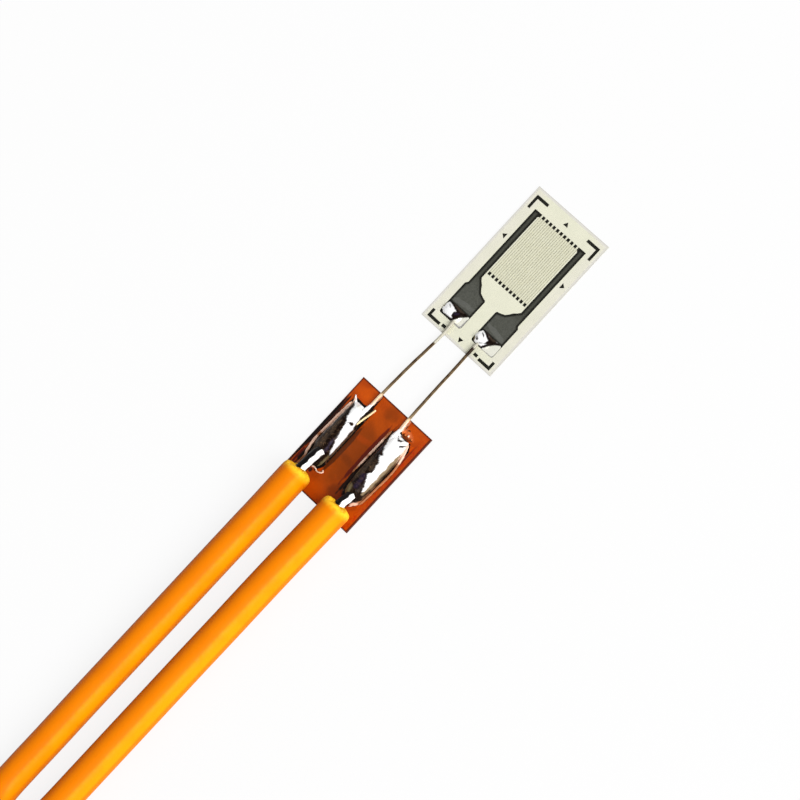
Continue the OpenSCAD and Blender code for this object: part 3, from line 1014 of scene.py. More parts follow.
@dataclass(frozen=True)
class Mound:
    """A lump of solder with an oblong foot, in millimetres.

    Each station is its place along the mound, the middle across it, half the width and the height.
    """

    stations: Sequence[Station]
    foot: float
    way: Way = Way.ALONG_X
    lean: float = 0.0
    lumps: float = 0.03
    seed: float = 0.0

    STEPS = 14
    ACROSS = 36
    FULLNESS = 0.62
    LEAST_HALF = 0.01
    LEAST_HEIGHT = 0.005

    def rings(self) -> np.ndarray:
        """The mound's rings, from one end to the other.

        Returns:
            The points of each ring, in millimetres.
        """
        along, across, half, height = smooth_path(self.stations, self.STEPS).T
        half = np.maximum(half, self.LEAST_HALF)
        height = np.maximum(height, self.LEAST_HEIGHT)
        t = -np.cos(np.linspace(0, np.pi, self.ACROSS))[None, :]
        crown = (1 - t**2).clip(0)
        side = across[:, None] + half[:, None] * (t + self.lean * crown)
        top = height[:, None] * crown**self.FULLNESS
        flat = np.broadcast_to(along[:, None], side.shape)
        spread = np.stack([flat, side, np.zeros_like(side)], -1).reshape(-1, 3)
        lump = (rough(spread, 2.2, self.seed) + 0.5 * rough(spread, 6.0, self.seed + 9)).reshape(side.shape)
        top = top + self.lumps * lump * crown**0.5 * np.minimum(1, height[:, None] / 0.1)
        top = np.maximum(top, 0) + self.foot
        ends = [flat, side, top] if self.way is Way.ALONG_X else [side[:, ::-1], flat[:, ::-1], top[:, ::-1]]
        return np.stack(ends, -1)[:, ::-1]


@dataclass(frozen=True)
class SolderJoint:
    """One solder joint: its mounds and ridges, and the strokes that give each part its look.

    Each point of a ridge is its place and its radius.
    """

    name: str
    node: str
    mounds: Sequence[Mound]
    ground: Tone
    strokes: Sequence[Stroke]
    ragged: float
    ridges: Sequence[Sequence[Station]] = ()

    RIDGE_STEPS = 8
    RIDGE_SIDES = 12
    RIDGE_END = 0.4

    def build(self, finish: bpy.types.Material) -> bpy.types.Object:
        """Makes the joint and paints it.

        Args:
            finish: The solder's material.

        Returns:
            The joint.
        """
        shell = Shell()
        for mound in self.mounds:
            shell.loft(mound.rings())
        for ridge in self.ridges:
            course = smooth_path(ridge, self.RIDGE_STEPS)
            radii = course[:, 3] * (1 + 0.2 * rough(course[:, :3], 6.0, 5.0))
            radii[[0, -1]] *= self.RIDGE_END
            shell.tube(course[:, :3], radii, self.RIDGE_SIDES)
        piece = shell.make(self.name, finish, "solder", self.node)
        self._paint(piece.data)
        return piece

    def _paint(self, mesh: bpy.types.Mesh) -> None:
        """Lays the strokes over the ground tone, in order.

        Args:
            mesh: The joint's mesh.
        """
        places = np.array([v.co for v in mesh.vertices]) / MM
        seen = places[:, :2] + places[:, 2:] * (0.0, Stroke.RISE)
        wander = self.ragged * (rough(places, 5.0, 3.0) + 0.6 * rough(places, 14.0, 7.0))
        colour = np.tile(np.array(self.ground.colour, float), (len(places), 1))
        dull = np.full(len(places), self.ground.dullness)
        for stroke in self.strokes:
            share = stroke.cover(seen, wander)
            colour += share[:, None] * (np.array(stroke.tone.colour) - colour)
            dull += share * (stroke.tone.dullness - dull)
        tones = mesh.color_attributes.new("tone", "FLOAT_COLOR", "POINT")
        tones.data.foreach_set("color", colour.ravel())
        dulls = mesh.attributes.new("dull", "FLOAT", "POINT")
        dulls.data.foreach_set("value", dull)


@dataclass(frozen=True)
class BentWire:
    """A bare metal wire with slight ridges, such as a lead or a conductor, in millimetres."""

    name: str
    node: str
    slot: str
    route: Sequence[Point3]
    diameter: float
    strands: int = 0
    lay: float = 2.6
    ridge: float = 0.05

    STEPS = 14
    SIDES_ROUND = 28
    END_SHARE = 0.6

    def build(self, finish: bpy.types.Material) -> bpy.types.Object:
        """Makes the wire.

        Args:
            finish: Its material.

        Returns:
            The wire.
        """
        path = smooth_path(self.route, self.STEPS)
        run = np.concatenate([[0], np.cumsum(np.linalg.norm(np.diff(path, axis=0), axis=1))])
        turn = np.linspace(0, 2 * np.pi, self.SIDES_ROUND, endpoint=False)
        radii = np.full((len(path), self.SIDES_ROUND), self.diameter / 2)
        if self.strands:
            twist = self.strands * (turn[None, :] - 2 * np.pi * run[:, None] / self.lay)
            radii *= 1 - self.ridge * (1 - np.abs(np.cos(twist / 2)))
        else:
            radii *= 1 - self.ridge * (0.5 + 0.5 * np.sin(run[:, None] * 9 + 2 * np.cos(turn[None, :])))
        radii[[0, -1]] *= self.END_SHARE
        shell = Shell()
        shell.tube(path, radii, self.SIDES_ROUND)
        return shell.make(self.name, finish, self.slot, self.node)


@dataclass
class Gauge:
    """The strain gauge itself: films, foil and marks, with the solder and leads at its tabs.

    Over the gap, each lead's points have their X and height, and then a share of the way across, for
    each side, from where the lead leaves the film to where it meets its joint.
    """

    foil_top: float = 0.045
    lead_d: float = 0.13
    lead_y: float = 0.75
    joint_y: Point2 = (0.86, -0.87)
    at_film: Point2 = (0.69, -0.75)
    over_gap: Sequence[Point2] = ((-5.3, 0.2), (-6.1, 0.242), (-7.0, 0.232), (-7.85, 0.212))
    across_gap: Sequence[Sequence[float]] = ((0.12, 0.36, 0.68, 0.93), (0.42, 0.62, 0.66, 0.72))
    tab_flux: Colour = tint(46, 42, 42)

    MARKS = (
        *(f"corner_mark_{i}" for i in range(1, 5)),
        *(f"centre_mark_{i}" for i in range(1, 5)),
        *(f"lead_mark_{i}" for i in SIDES),
    )

    def build(self) -> None:
        """Dresses the flat pieces and makes the solder and the leads."""
        dress_node("carrier_film", FilmFinish().make())
        dress_node("cover_film", CoverFinish().make())
        dress_node("foil_grid", FoilFinish().make())
        mark = MarkFinish().make()
        for name in self.MARKS:
            dress_node(name, mark)
        solder = SolderFinish("tab_solder", grain=20.0, flux=self.tab_flux).make()
        self._upper_tab().build(solder)
        self._lower_tab().build(solder)
        for side in SIDES:
            self._lead(side).build(LeadFinish(f"lead_copper_{side}", side=side).make())

    def _upper_tab(self) -> SolderJoint:
        """The solder on the +Y tab: a lump on its outer part and a thin film on the inner corner.

        Returns:
            The joint.
        """
        lump = Mound(
            [(0.58, -3.6, 0.16, 0.03), (0.7, -3.6, 0.28, 0.12), (0.9, -3.59, 0.3, 0.17),
             (1.1, -3.59, 0.3, 0.19), (1.35, -3.58, 0.28, 0.17), (1.53, -3.58, 0.22, 0.09),
             (1.6, -3.6, 0.12, 0.02)],
            self.foil_top, Way.ALONG_Y, lean=-0.1, lumps=0.015, seed=4,
        )
        wash = Mound(
            [(0.35, -3.6, 0.24, 0.008), (0.42, -3.6, 0.29, 0.012), (0.6, -3.6, 0.3, 0.015),
             (0.9, -3.6, 0.28, 0.015)],
            self.foil_top, Way.ALONG_Y, lumps=0.001, seed=2,
        )
        # On a white painted highlight: black painted reflection, a pale painted reflection over the thin
        # film, grey edges and patches of flux
        strokes = (
            line(Tone.GREY, 0.03, (-3.9, 0.8, 0.02), (-3.89, 0.45, 0.02), (-3.8, 0.38, 0.02),
                 (-3.4, 0.38, 0.02)),
            line(Tone.BLACK, 0.02, (-3.9, 1.45, 0.02), (-3.89, 1.15, 0.05), (-3.87, 1.0, 0.06),
                 (-3.72, 0.86, 0.06), (-3.55, 0.72, 0.06), (-3.42, 0.58, 0.05), (-3.28, 0.42, 0.05)),
            patch(Tone.PALE, 0.03, (-3.95, 0.95), (-3.6, 0.74), (-3.3, 0.42), (-3.3, 0.3), (-3.95, 0.3)),
            line(Tone.GREY, 0.03, (-3.88, 0.85, 0.025), (-3.87, 0.46, 0.03), (-3.78, 0.4, 0.03),
                 (-3.45, 0.39, 0.03)),
            patch(Tone.BLACK, 0.03, (-3.8, 0.92), (-3.72, 1.1), (-3.55, 1.12), (-3.45, 1.0), (-3.3, 0.95),
                  (-3.2, 0.5), (-3.3, 0.44), (-3.5, 0.68)),
            patch(Tone.ASH, 0.03, (-3.3, 1.68), (-3.38, 1.2), (-3.42, 1.0), (-3.36, 0.75), (-3.2, 0.55),
                  (-3.2, 1.68)),
            line(Tone.BLACK, 0.03, (-3.9, 1.5, 0.03), (-3.86, 1.3, 0.05), (-3.86, 1.0, 0.06)),
            line(Tone.NAVY, 0.04, (-3.58, 1.0, 0.05), (-3.48, 0.88, 0.04)),
            line(Tone.BLACK, 0.03, (-3.82, 1.58, 0.06)),
            line(Tone.OLIVE, 0.03, (-3.62, 1.63, 0.03), (-3.5, 1.65, 0.03)),
            line(Tone.GREY, 0.03, (-3.42, 1.48, 0.02), (-3.5, 1.36, 0.02)),
            line(Tone.BLACK, 0.02, (-3.29, 1.65, 0.04), (-3.34, 1.35, 0.04), (-3.4, 1.15, 0.04),
                 (-3.44, 0.95, 0.05)),
        )
        return SolderJoint("tab_solder_outer", "tab_solder_1", (lump, wash), Tone.HIGHLIGHT, strokes, 0.015)

    def _lower_tab(self) -> SolderJoint:
        """The solder on the -Y tab: a lump on its inner part and a thin film on the outer corner.

        Returns:
            The joint.
        """
        lump = Mound(
            [(-1.2, -3.6, 0.16, 0.03), (-1.05, -3.59, 0.26, 0.1), (-0.85, -3.58, 0.3, 0.17),
             (-0.7, -3.58, 0.3, 0.19), (-0.5, -3.58, 0.28, 0.15), (-0.4, -3.6, 0.2, 0.07),
             (-0.34, -3.6, 0.1, 0.02)],
            self.foil_top, Way.ALONG_Y, lean=-0.1, lumps=0.015, seed=7,
        )
        wash = Mound(
            [(-1.6, -3.6, 0.24, 0.008), (-1.5, -3.6, 0.29, 0.012), (-1.2, -3.6, 0.3, 0.015),
             (-0.95, -3.6, 0.28, 0.015)],
            self.foil_top, Way.ALONG_Y, lumps=0.001, seed=5,
        )
        # On a white painted highlight: black painted reflection, a pale painted reflection over the thin
        # film, grey edges and patches of flux
        strokes = (
            patch(Tone.PALE, 0.03, (-3.95, -0.95), (-3.5, -1.1), (-3.2, -1.5), (-3.2, -1.7), (-3.95, -1.7)),
            line(Tone.GREY, 0.03, (-3.9, -1.1, 0.012), (-3.88, -1.5, 0.012), (-3.8, -1.57, 0.012)),
            line(Tone.BLACK, 0.02, (-3.9, -0.74, 0.05), (-3.88, -0.88, 0.06), (-3.75, -0.97, 0.06),
                 (-3.6, -1.08, 0.05), (-3.42, -1.25, 0.05), (-3.25, -1.48, 0.06)),
            patch(Tone.BLACK, 0.03, (-3.7, -0.85), (-3.5, -0.93), (-3.38, -0.85), (-3.3, -0.95),
                  (-3.3, -1.35), (-3.45, -1.2), (-3.6, -1.05)),
            patch(Tone.ASH, 0.03, (-3.22, -0.28), (-3.3, -0.62), (-3.38, -0.95), (-3.38, -1.15),
                  (-3.2, -1.4), (-3.15, -0.28)),
            line(Tone.OLIVE, 0.03, (-3.84, -0.36, 0.1), (-3.76, -0.34, 0.08)),
            line(Tone.BLACK, 0.02, (-3.64, -0.4, 0.02), (-3.72, -0.5, 0.04)),
            line(Tone.GREY, 0.04, (-3.78, -0.7, 0.03), (-3.7, -0.82, 0.02)),
            line(Tone.BLACK, 0.02, (-3.4, -0.5, 0.015), (-3.44, -0.6, 0.035), (-3.5, -0.68, 0.015)),
            line(Tone.BLACK, 0.02, (-3.24, -0.3, 0.04), (-3.31, -0.6, 0.04), (-3.42, -0.88, 0.05)),
        )
        return SolderJoint("tab_solder_inner", "tab_solder_2", (lump, wash), Tone.HIGHLIGHT, strokes, 0.015)

    def _lead(self, side: int) -> BentWire:
        """The fine copper lead of one side, from its tab to the terminal board.

        Args:
            side: 1 or 2.

        Returns:
            The lead.
        """
        start = self.lead_y if side == 1 else -self.lead_y
        y = self.at_film[side - 1]
        end = self.joint_y[side - 1]
        shares = self.across_gap[side - 1]
        route = [
            (-3.82, start, 0.11),
            (-3.98, (start + y) / 2, 0.14),
            (-4.46, y, 0.142),
            *((x, y + (end - y) * share, z) for (x, z), share in zip(self.over_gap, shares, strict=True)),
            (-8.49, end, 0.21),
            (-9.09, end, 0.21),
        ]
        return BentWire(f"copper_lead_{side}", f"gauge_lead_{side}", "lead", route, self.lead_d, ridge=0.04)


@dataclass
class TerminalBoard:
    """The terminal board: its film, pads and joints, and the bare wire ends in them."""

    board_top: float = 0.1
    pad_top: float = 0.135
    core_d: float = 0.45
    core_y: Point2 = (0.95, -1.48)
    core_hidden: Point2 = (-11.0, -11.45)
    core_into_joint: Point2 = (1.0, -1.36)
    strand_d: float = 0.1
    strand_colour: Colour = tint(252, 230, 176)

    # The stray strand's course, and each crumb of solder at the second joint with its place and radius
    STRAND = ((-9.42, 0.76, 0.27), (-9.19, 0.72, 0.24), (-8.95, 0.68, 0.21), (-8.7, 0.62, 0.2),
              (-8.42, 0.56, 0.196))
    CRUMBS = ((-8.3, -1.3, 0.07), (-8.16, -1.16, 0.06), (-8.34, -1.5, 0.05), (-8.28, -1.02, 0.05),
              (-8.36, -1.14, 0.05))

    def build(self) -> None:
        """Dresses the flat pieces and makes the joints and the wire ends."""
        dress_node("terminal_board", BoardFinish().make())
        pad = PadFinish().make()
        for side in SIDES:
            dress_node(f"terminal_pad_{side}", pad)
        solder = SolderFinish("joint_solder").make()
        self._first_joint().build(solder)
        self._second_joint().build(solder)
        tin = TinFinish("tinned_core").make()
        for side in SIDES:
            self._core(side).build(tin)
        copper = CopperFinish("strand_copper", clean=self.strand_colour, shade_strength=0.7).make()
        name, node = "stray_copper_strand", "stray_strand"
        BentWire(name, node, "lead", self.STRAND, self.strand_d, ridge=0.06).build(copper)

    def _core(self, side: int) -> BentWire:
        """The tinned conductor of one side, from inside its insulation down into the joint.

        Args:
            side: 1 or 2.

        Returns:
            The conductor.
        """
        y, end = self.core_y[side - 1], self.core_into_joint[side - 1]
        x = self.core_hidden[side - 1]
        route = [
            (-12.7, y, 0.75),
            (-12.3, y, 0.75),
            (-12.0, y, 0.735),
            (x - 0.3, y + (end - y) * 0.3, 0.6),
            (x, y + (end - y) * 0.8, 0.42),
            (x + 0.25, end, 0.36),
            (-10.3, end, 0.36),
        ]
        return BentWire(f"bare_core_{side}", f"conductor_{side}", "conductor", route, self.core_d, strands=7)

    def _first_joint(self) -> SolderJoint:
        """The joint on the +Y pad: its outer slope dark with burnt flux and painted reflection, and a painted
        highlight over its inner slope.

        Returns:
            The joint.
        """
        main = Mound(
            [(-11.72, 1.12, 0.2, 0.04), (-11.45, 1.13, 0.38, 0.18), (-11.15, 1.14, 0.43, 0.3),
             (-11.0, 1.14, 0.47, 0.47), (-10.85, 1.14, 0.49, 0.55), (-10.4, 1.15, 0.49, 0.55),
             (-9.7, 1.15, 0.49, 0.53), (-9.2, 1.18, 0.47, 0.44), (-8.85, 1.2, 0.4, 0.3),
             (-8.66, 1.22, 0.3, 0.1)],
            self.pad_top, lean=-0.3, lumps=0.04, seed=1,
        )
        to_lead = Mound(
            [(-9.2, 1.0, 0.3, 0.32), (-8.8, 0.9, 0.2, 0.26), (-8.5, 0.86, 0.13, 0.19),
             (-8.2, 0.85, 0.1, 0.17), (-7.95, 0.84, 0.08, 0.15), (-7.84, 0.84, 0.06, 0.1)],
            self.board_top, lumps=0.01, seed=2,
        )
        spike = Mound(
            [(-9.0, 1.35, 0.2, 0.2), (-8.72, 1.54, 0.1, 0.12), (-8.56, 1.68, 0.05, 0.06),
             (-8.5, 1.74, 0.02, 0.02)],
            self.pad_top, lumps=0.005, seed=3,
        )
        # On dark ground of burnt flux and painted reflection: the painted highlight as a white patch, copper
        # edges and loops with painted glints, and flux
        strokes = (
            line(Tone.BLACK, 0.06, (-11.8, 1.46, 0.1), (-11.1, 1.64, 0.1), (-10.0, 1.69, 0.08),
                 (-8.8, 1.66, 0.1)),
            patch(Tone.ASH, 0.06, (-12.0, 1.52), (-11.6, 1.56), (-11.0, 1.64), (-10.2, 1.65), (-9.6, 1.6),
                  (-9.6, 1.5), (-10.2, 1.44), (-11.0, 1.42), (-11.6, 1.4)),
            line(Tone.NAVY, 0.06, (-10.9, 1.12, 0.06), (-10.4, 1.2, 0.05)),
            line(Tone.OLIVE, 0.06, (-11.6, 0.86, 0.03), (-11.0, 0.84, 0.04)),
            patch(Tone.HIGHLIGHT, 0.025, (-10.98, 0.83), (-10.7, 0.95), (-10.3, 1.1), (-9.8, 1.21),
                  (-9.58, 1.28), (-9.42, 1.42), (-9.1, 1.5), (-8.85, 1.55), (-8.7, 1.7), (-8.5, 1.9),
                  (-8.4, 1.88), (-8.6, 1.6), (-8.62, 1.42), (-8.5, 1.2), (-8.35, 1.1), (-7.7, 1.08),
                  (-7.7, 0.9), (-8.45, 0.93), (-8.9, 0.95), (-9.35, 0.92), (-9.6, 0.86), (-10.2, 0.84)),
            line(Tone.PALE, 0.06, (-8.78, 1.42, 0.03), (-8.78, 1.15, 0.04)),
            line(Tone.PINK, 0.05, (-8.3, 1.02, 0.12), (-7.8, 1.0, 0.12)),
            line(Tone.COPPER, 0.04, (-8.1, 0.9, 0.03), (-7.8, 0.93, 0.03)),
            line(Tone.BLACK, 0.02, (-9.46, 1.06, 0.07), (-9.46, 1.12, 0.06), (-9.52, 1.24, 0.02)),
            line(Tone.UMBER, 0.04, (-11.1, 0.75, 0.05), (-10.2, 0.75, 0.05), (-9.6, 0.76, 0.04)),
            line(Tone.PINK, 0.02, (-11.74, 1.12, 0.06), (-11.7, 0.9, 0.06), (-11.74, 0.68, 0.06),
                 (-11.6, 0.5, 0.12)),
            line(Tone.COPPER, 0.02, (-12.2, 1.68, 0.08), (-11.6, 1.69, 0.08), (-11.4, 1.77, 0.08),
                 (-11.0, 1.86, 0.08), (-10.6, 1.88, 0.08), (-10.0, 1.84, 0.08), (-8.7, 1.76, 0.08)),
            line(Tone.PINK, 0.05, (-11.5, 1.7, 0.08), (-11.4, 1.77, 0.08), (-11.0, 1.86, 0.08),
                 (-10.75, 1.88, 0.08)),
            line(Tone.PINK, 0.05, (-10.4, 1.86, 0.09), (-10.0, 1.84, 0.09), (-8.7, 1.76, 0.09)),
        )
        ridges = (
            [(-12.1, 1.58, 0.13, 0.05), (-11.6, 1.59, 0.13, 0.055), (-11.4, 1.65, 0.15, 0.065),
             (-11.0, 1.72, 0.16, 0.075), (-10.6, 1.74, 0.16, 0.07), (-10.0, 1.7, 0.16, 0.075),
             (-9.5, 1.68, 0.16, 0.07), (-8.8, 1.64, 0.15, 0.065)],
            [(-11.72, 1.03, 0.14, 0.02), (-11.67, 0.85, 0.15, 0.035), (-11.73, 0.7, 0.13, 0.022),
             (-11.69, 0.56, 0.12, 0.03), (-11.6, 0.47, 0.12, 0.035), (-11.53, 0.54, 0.12, 0.02)],
        )
        mounds = (main, to_lead, spike)
        return SolderJoint("joint_outer", "joint_solder_1", mounds, Tone.BLACK, strokes, 0.04, ridges)

    def _crumb(self, x: float, y: float, r: float) -> Mound:
        """A crumb of solder, by its place and radius.

        Args:
            x: Its middle along X.
            y: Its middle along Y.
            r: Its radius.

        Returns:
            The crumb.
        """
        half, tip = r * 0.7, 0.02
        return Mound(
            [(x - r, y, tip, tip), (x - r / 2, y, half, r), (x + r / 2, y, half, r), (x + r, y, tip, tip)],
            self.board_top, lumps=0.012, seed=x + y,
        )

    def _second_joint(self) -> SolderJoint:
        """The joint on the -Y pad: wider, with a larger painted highlight, and burnt flux with painted
        reflection along its inner slope.

        Returns:
            The joint.
        """
        main = Mound(
            [(-11.8, -1.38, 0.14, 0.06), (-11.6, -1.33, 0.34, 0.42), (-11.4, -1.3, 0.44, 0.53),
             (-11.0, -1.27, 0.48, 0.56), (-10.5, -1.25, 0.5, 0.56), (-9.6, -1.24, 0.5, 0.55),
             (-9.1, -1.22, 0.48, 0.46), (-8.75, -1.2, 0.44, 0.3), (-8.5, -1.18, 0.36, 0.1)],
            self.pad_top, lean=-0.12, lumps=0.04, seed=11,
        )
        to_lead = Mound(
            [(-9.1, -1.0, 0.3, 0.36), (-8.7, -0.93, 0.22, 0.28), (-8.4, -0.89, 0.14, 0.2),
             (-8.1, -0.88, 0.1, 0.17), (-7.9, -0.87, 0.08, 0.15), (-7.82, -0.87, 0.06, 0.1)],
            self.board_top, lumps=0.01, seed=12,
        )
        crumbs = [self._crumb(*crumb) for crumb in self.CRUMBS]
        # On dark ground of burnt flux and painted reflection: the painted highlight as a white patch, copper
        # edges with painted glints, and flux with glinting crumbs
        strokes = (
            patch(Tone.OLIVE, 0.06, (-11.75, -0.95), (-11.6, -0.7), (-11.3, -0.6), (-11.1, -0.7),
                  (-11.2, -0.85), (-11.5, -0.98)),
            patch(Tone.ASH, 0.06, (-11.3, -0.55), (-10.6, -0.52), (-9.8, -0.56), (-9.8, -0.72),
                  (-10.3, -0.84), (-11.0, -0.74)),
            line(Tone.OLIVE, 0.05, (-10.8, -0.6, 0.03), (-10.5, -0.58, 0.03)),
            line(Tone.NAVY, 0.06, (-11.1, -0.98, 0.1), (-10.6, -0.92, 0.1)),
            line(Tone.NAVY, 0.04, (-9.5, -0.68, 0.05), (-9.1, -0.64, 0.04)),
            line(Tone.ASH, 0.06, (-10.2, -0.95, 0.08), (-9.85, -0.9, 0.05)),
            patch(Tone.BEIGE, 0.04, (-11.3, -1.38), (-10.8, -1.42), (-8.5, -1.4), (-8.6, -1.58),
                  (-9.5, -1.6), (-10.8, -1.58), (-11.2, -1.5)),
            patch(Tone.HIGHLIGHT, 0.025, (-11.15, -1.39), (-10.9, -1.3), (-10.62, -1.15), (-10.42, -0.99),
                  (-10.32, -1.13), (-10.1, -1.11), (-9.98, -1.02), (-9.86, -1.09), (-9.6, -0.83),
                  (-9.53, -0.96), (-9.32, -0.79), (-9.0, -0.68), (-8.75, -0.61), (-8.5, -0.6),
                  (-7.7, -0.64), (-7.7, -0.82), (-8.45, -0.84), (-8.5, -1.0), (-8.55, -1.2), (-8.5, -1.4),
                  (-8.45, -1.52), (-8.8, -1.52), (-9.3, -1.44), (-10.0, -1.44), (-10.6, -1.45),
                  (-11.0, -1.43)),
            line(Tone.BLACK, 0.02, (-8.88, -1.22, 0.02), (-8.8, -1.3, 0.03), (-8.62, -1.5, 0.02)),
            line(Tone.BLACK, 0.03, (-8.56, -0.86, 0.02), (-8.68, -1.0, 0.05), (-8.66, -1.12, 0.04),
                 (-8.58, -1.2, 0.02)),
            line(Tone.GREY, 0.03, (-9.12, -1.28, 0.03), (-9.04, -1.32, 0.02)),
            line(Tone.UMBER, 0.03, (-11.3, -1.62, 0.03), (-9.4, -1.65, 0.03)),
            line(Tone.AMBER, 0.03, (-8.3, -0.94, 0.09), (-8.2, -1.5, 0.14)),
            line(Tone.PINK, 0.03, (-8.3, -1.2, 0.04)),
            line(Tone.PINK, 0.05, (-8.25, -0.74, 0.12), (-7.8, -0.74, 0.12)),
            line(Tone.COPPER, 0.04, (-8.2, -0.86, 0.03), (-7.85, -0.83, 0.03)),
            line(Tone.COPPER, 0.02, (-12.0, -1.2, 0.07), (-11.6, -1.58, 0.07), (-11.4, -1.69, 0.07),
                 (-10.5, -1.76, 0.07), (-9.8, -1.79, 0.07), (-9.2, -1.7, 0.07)),
            line(Tone.PINK, 0.03, (-11.9, -1.3, 0.07), (-11.6, -1.56, 0.06)),
            line(Tone.PINK, 0.05, (-9.3, -1.72, 0.08), (-8.5, -1.5, 0.08)),
            line(Tone.COPPER, 0.02, (-10.85, -0.44, 0.07), (-9.6, -0.46, 0.07), (-8.4, -0.48, 0.07)),
            line(Tone.PINK, 0.06, (-10.4, -0.45, 0.07), (-10.1, -0.45, 0.07)),
            line(Tone.PINK, 0.08, (-9.8, -0.46, 0.07), (-9.1, -0.47, 0.07)),
        )
        ridges = (
            [(-11.88, -1.44, 0.13, 0.035), (-11.6, -1.67, 0.13, 0.045), (-11.4, -1.78, 0.13, 0.05),
             (-10.5, -1.85, 0.13, 0.055), (-9.8, -1.88, 0.13, 0.05), (-9.2, -1.79, 0.13, 0.055),
             (-8.8, -1.67, 0.13, 0.045), (-8.56, -1.58, 0.13, 0.03)],
            [(-10.8, -0.52, 0.12, 0.04), (-10.2, -0.55, 0.13, 0.055), (-9.4, -0.56, 0.13, 0.055),
             (-8.6, -0.57, 0.12, 0.04)],
        )
        mounds = (main, to_lead, *crumbs)
        return SolderJoint("joint_inner", "joint_solder_2", mounds, Tone.BLACK, strokes, 0.04, ridges)


@dataclass(frozen=True)
class HankPlan:
    """How the pair of wires is folded: two columns of turns, four layers high, in millimetres.

    A turn starts at the near end of the run on the +Y side, where the wires come in, and goes round
    by the far end. How far a wire has gone is counted in turns.
    """

    near: Point2 = (-37.99, -5.6)
    run: float = 19.5
    inner: float = 3.25
    wire_d: float = 1.3
    layers: int = 4
    wound: float = 3.7
    tie_lift: float = 0.2
    tie_reach: float = 3.2
    tie_ramp: float = 2.2

    STEPS = 100
    # Each move has its start and end, in turns, and the columns and rows that it crosses
    WOUND = ((0.8, 0.944, 0, 2), (1.7, 1.84, -1, 0), (2.589, 2.722, 0, -2))
    INTO_HOLE = {1: (3.544, 3.648, -1, -1), 2: (3.5, 3.618, -2, 0)}

    @property
    def outer(self) -> float:
        """How far the outside of the outer column lies from the hank's middle line."""
        return self.inner + 2 * self.wire_d

    @property
    def tie_x(self) -> float:
        """Where the tie goes round the +Y run: at the run's middle."""
        return self.near[0] - self.run / 2

    def seat(self, turns: float, side: int) -> Point2:
        """Where in the bundle a wire lies.

        Args:
            turns: How far the wire has gone round.
            side: 1 for the wire that lies above the other, 2 for the lower one.

        Returns:
            Its distance from the hank's middle line, and its height.
        """
        column, row = 2.0, 2.0 if side == 1 else 1.0
        for begin, end, columns, rows in (*self.WOUND, self.INTO_HOLE[side]):
            share = float(smoothstep((turns - begin) / (end - begin)))
            column += share * columns
            row += share * rows
        return self.inner + (column - 0.5) * self.wire_d, (row - 0.5) * self.wire_d

    def place(self, turns: float, out: float) -> Point2:
        """The point at that distance from the middle line, seen from above.

        Args:
            turns: How far the wire has gone round.
            out: The distance.

        Returns:
            The point's X and Y.
        """
        bend = math.pi * (self.inner + self.wire_d)
        along = (turns % 1) * 2 * (self.run + bend)
        x, y = self.near
        far = x - self.run
        if along < self.run:
            return x - along, y + out
        along -= self.run
        if along < bend:
            angle = math.pi * (0.5 + along / bend)
            return far + out * math.cos(angle), y + out * math.sin(angle)
        along -= bend
        if along < self.run:
            return far + along, y - out
        angle = math.pi * (1.5 + (along - self.run) / bend)
        return x + out * math.cos(angle), y + out * math.sin(angle)

    def path(self, side: int) -> np.ndarray:
        """The turns of one wire, from where it meets the hank to the end of its insulation.

        Args:
            side: Which wire: 1 or 2.

        Returns:
            The points, in millimetres.
        """
        points = []
        for turns in np.linspace(0, self.wound, round(self.wound * self.STEPS)):
            out, height = self.seat(float(turns), side)
            x, y = self.place(float(turns), out)
            if y > self.near[1]:
                beside = abs(x - self.tie_x)
                lift = self.tie_lift * float(smoothstep((self.tie_reach - beside) / self.tie_ramp))
                height += lift * (1 - height / (self.layers * self.wire_d))
            points.append((x, y, height))
        return np.array(points)


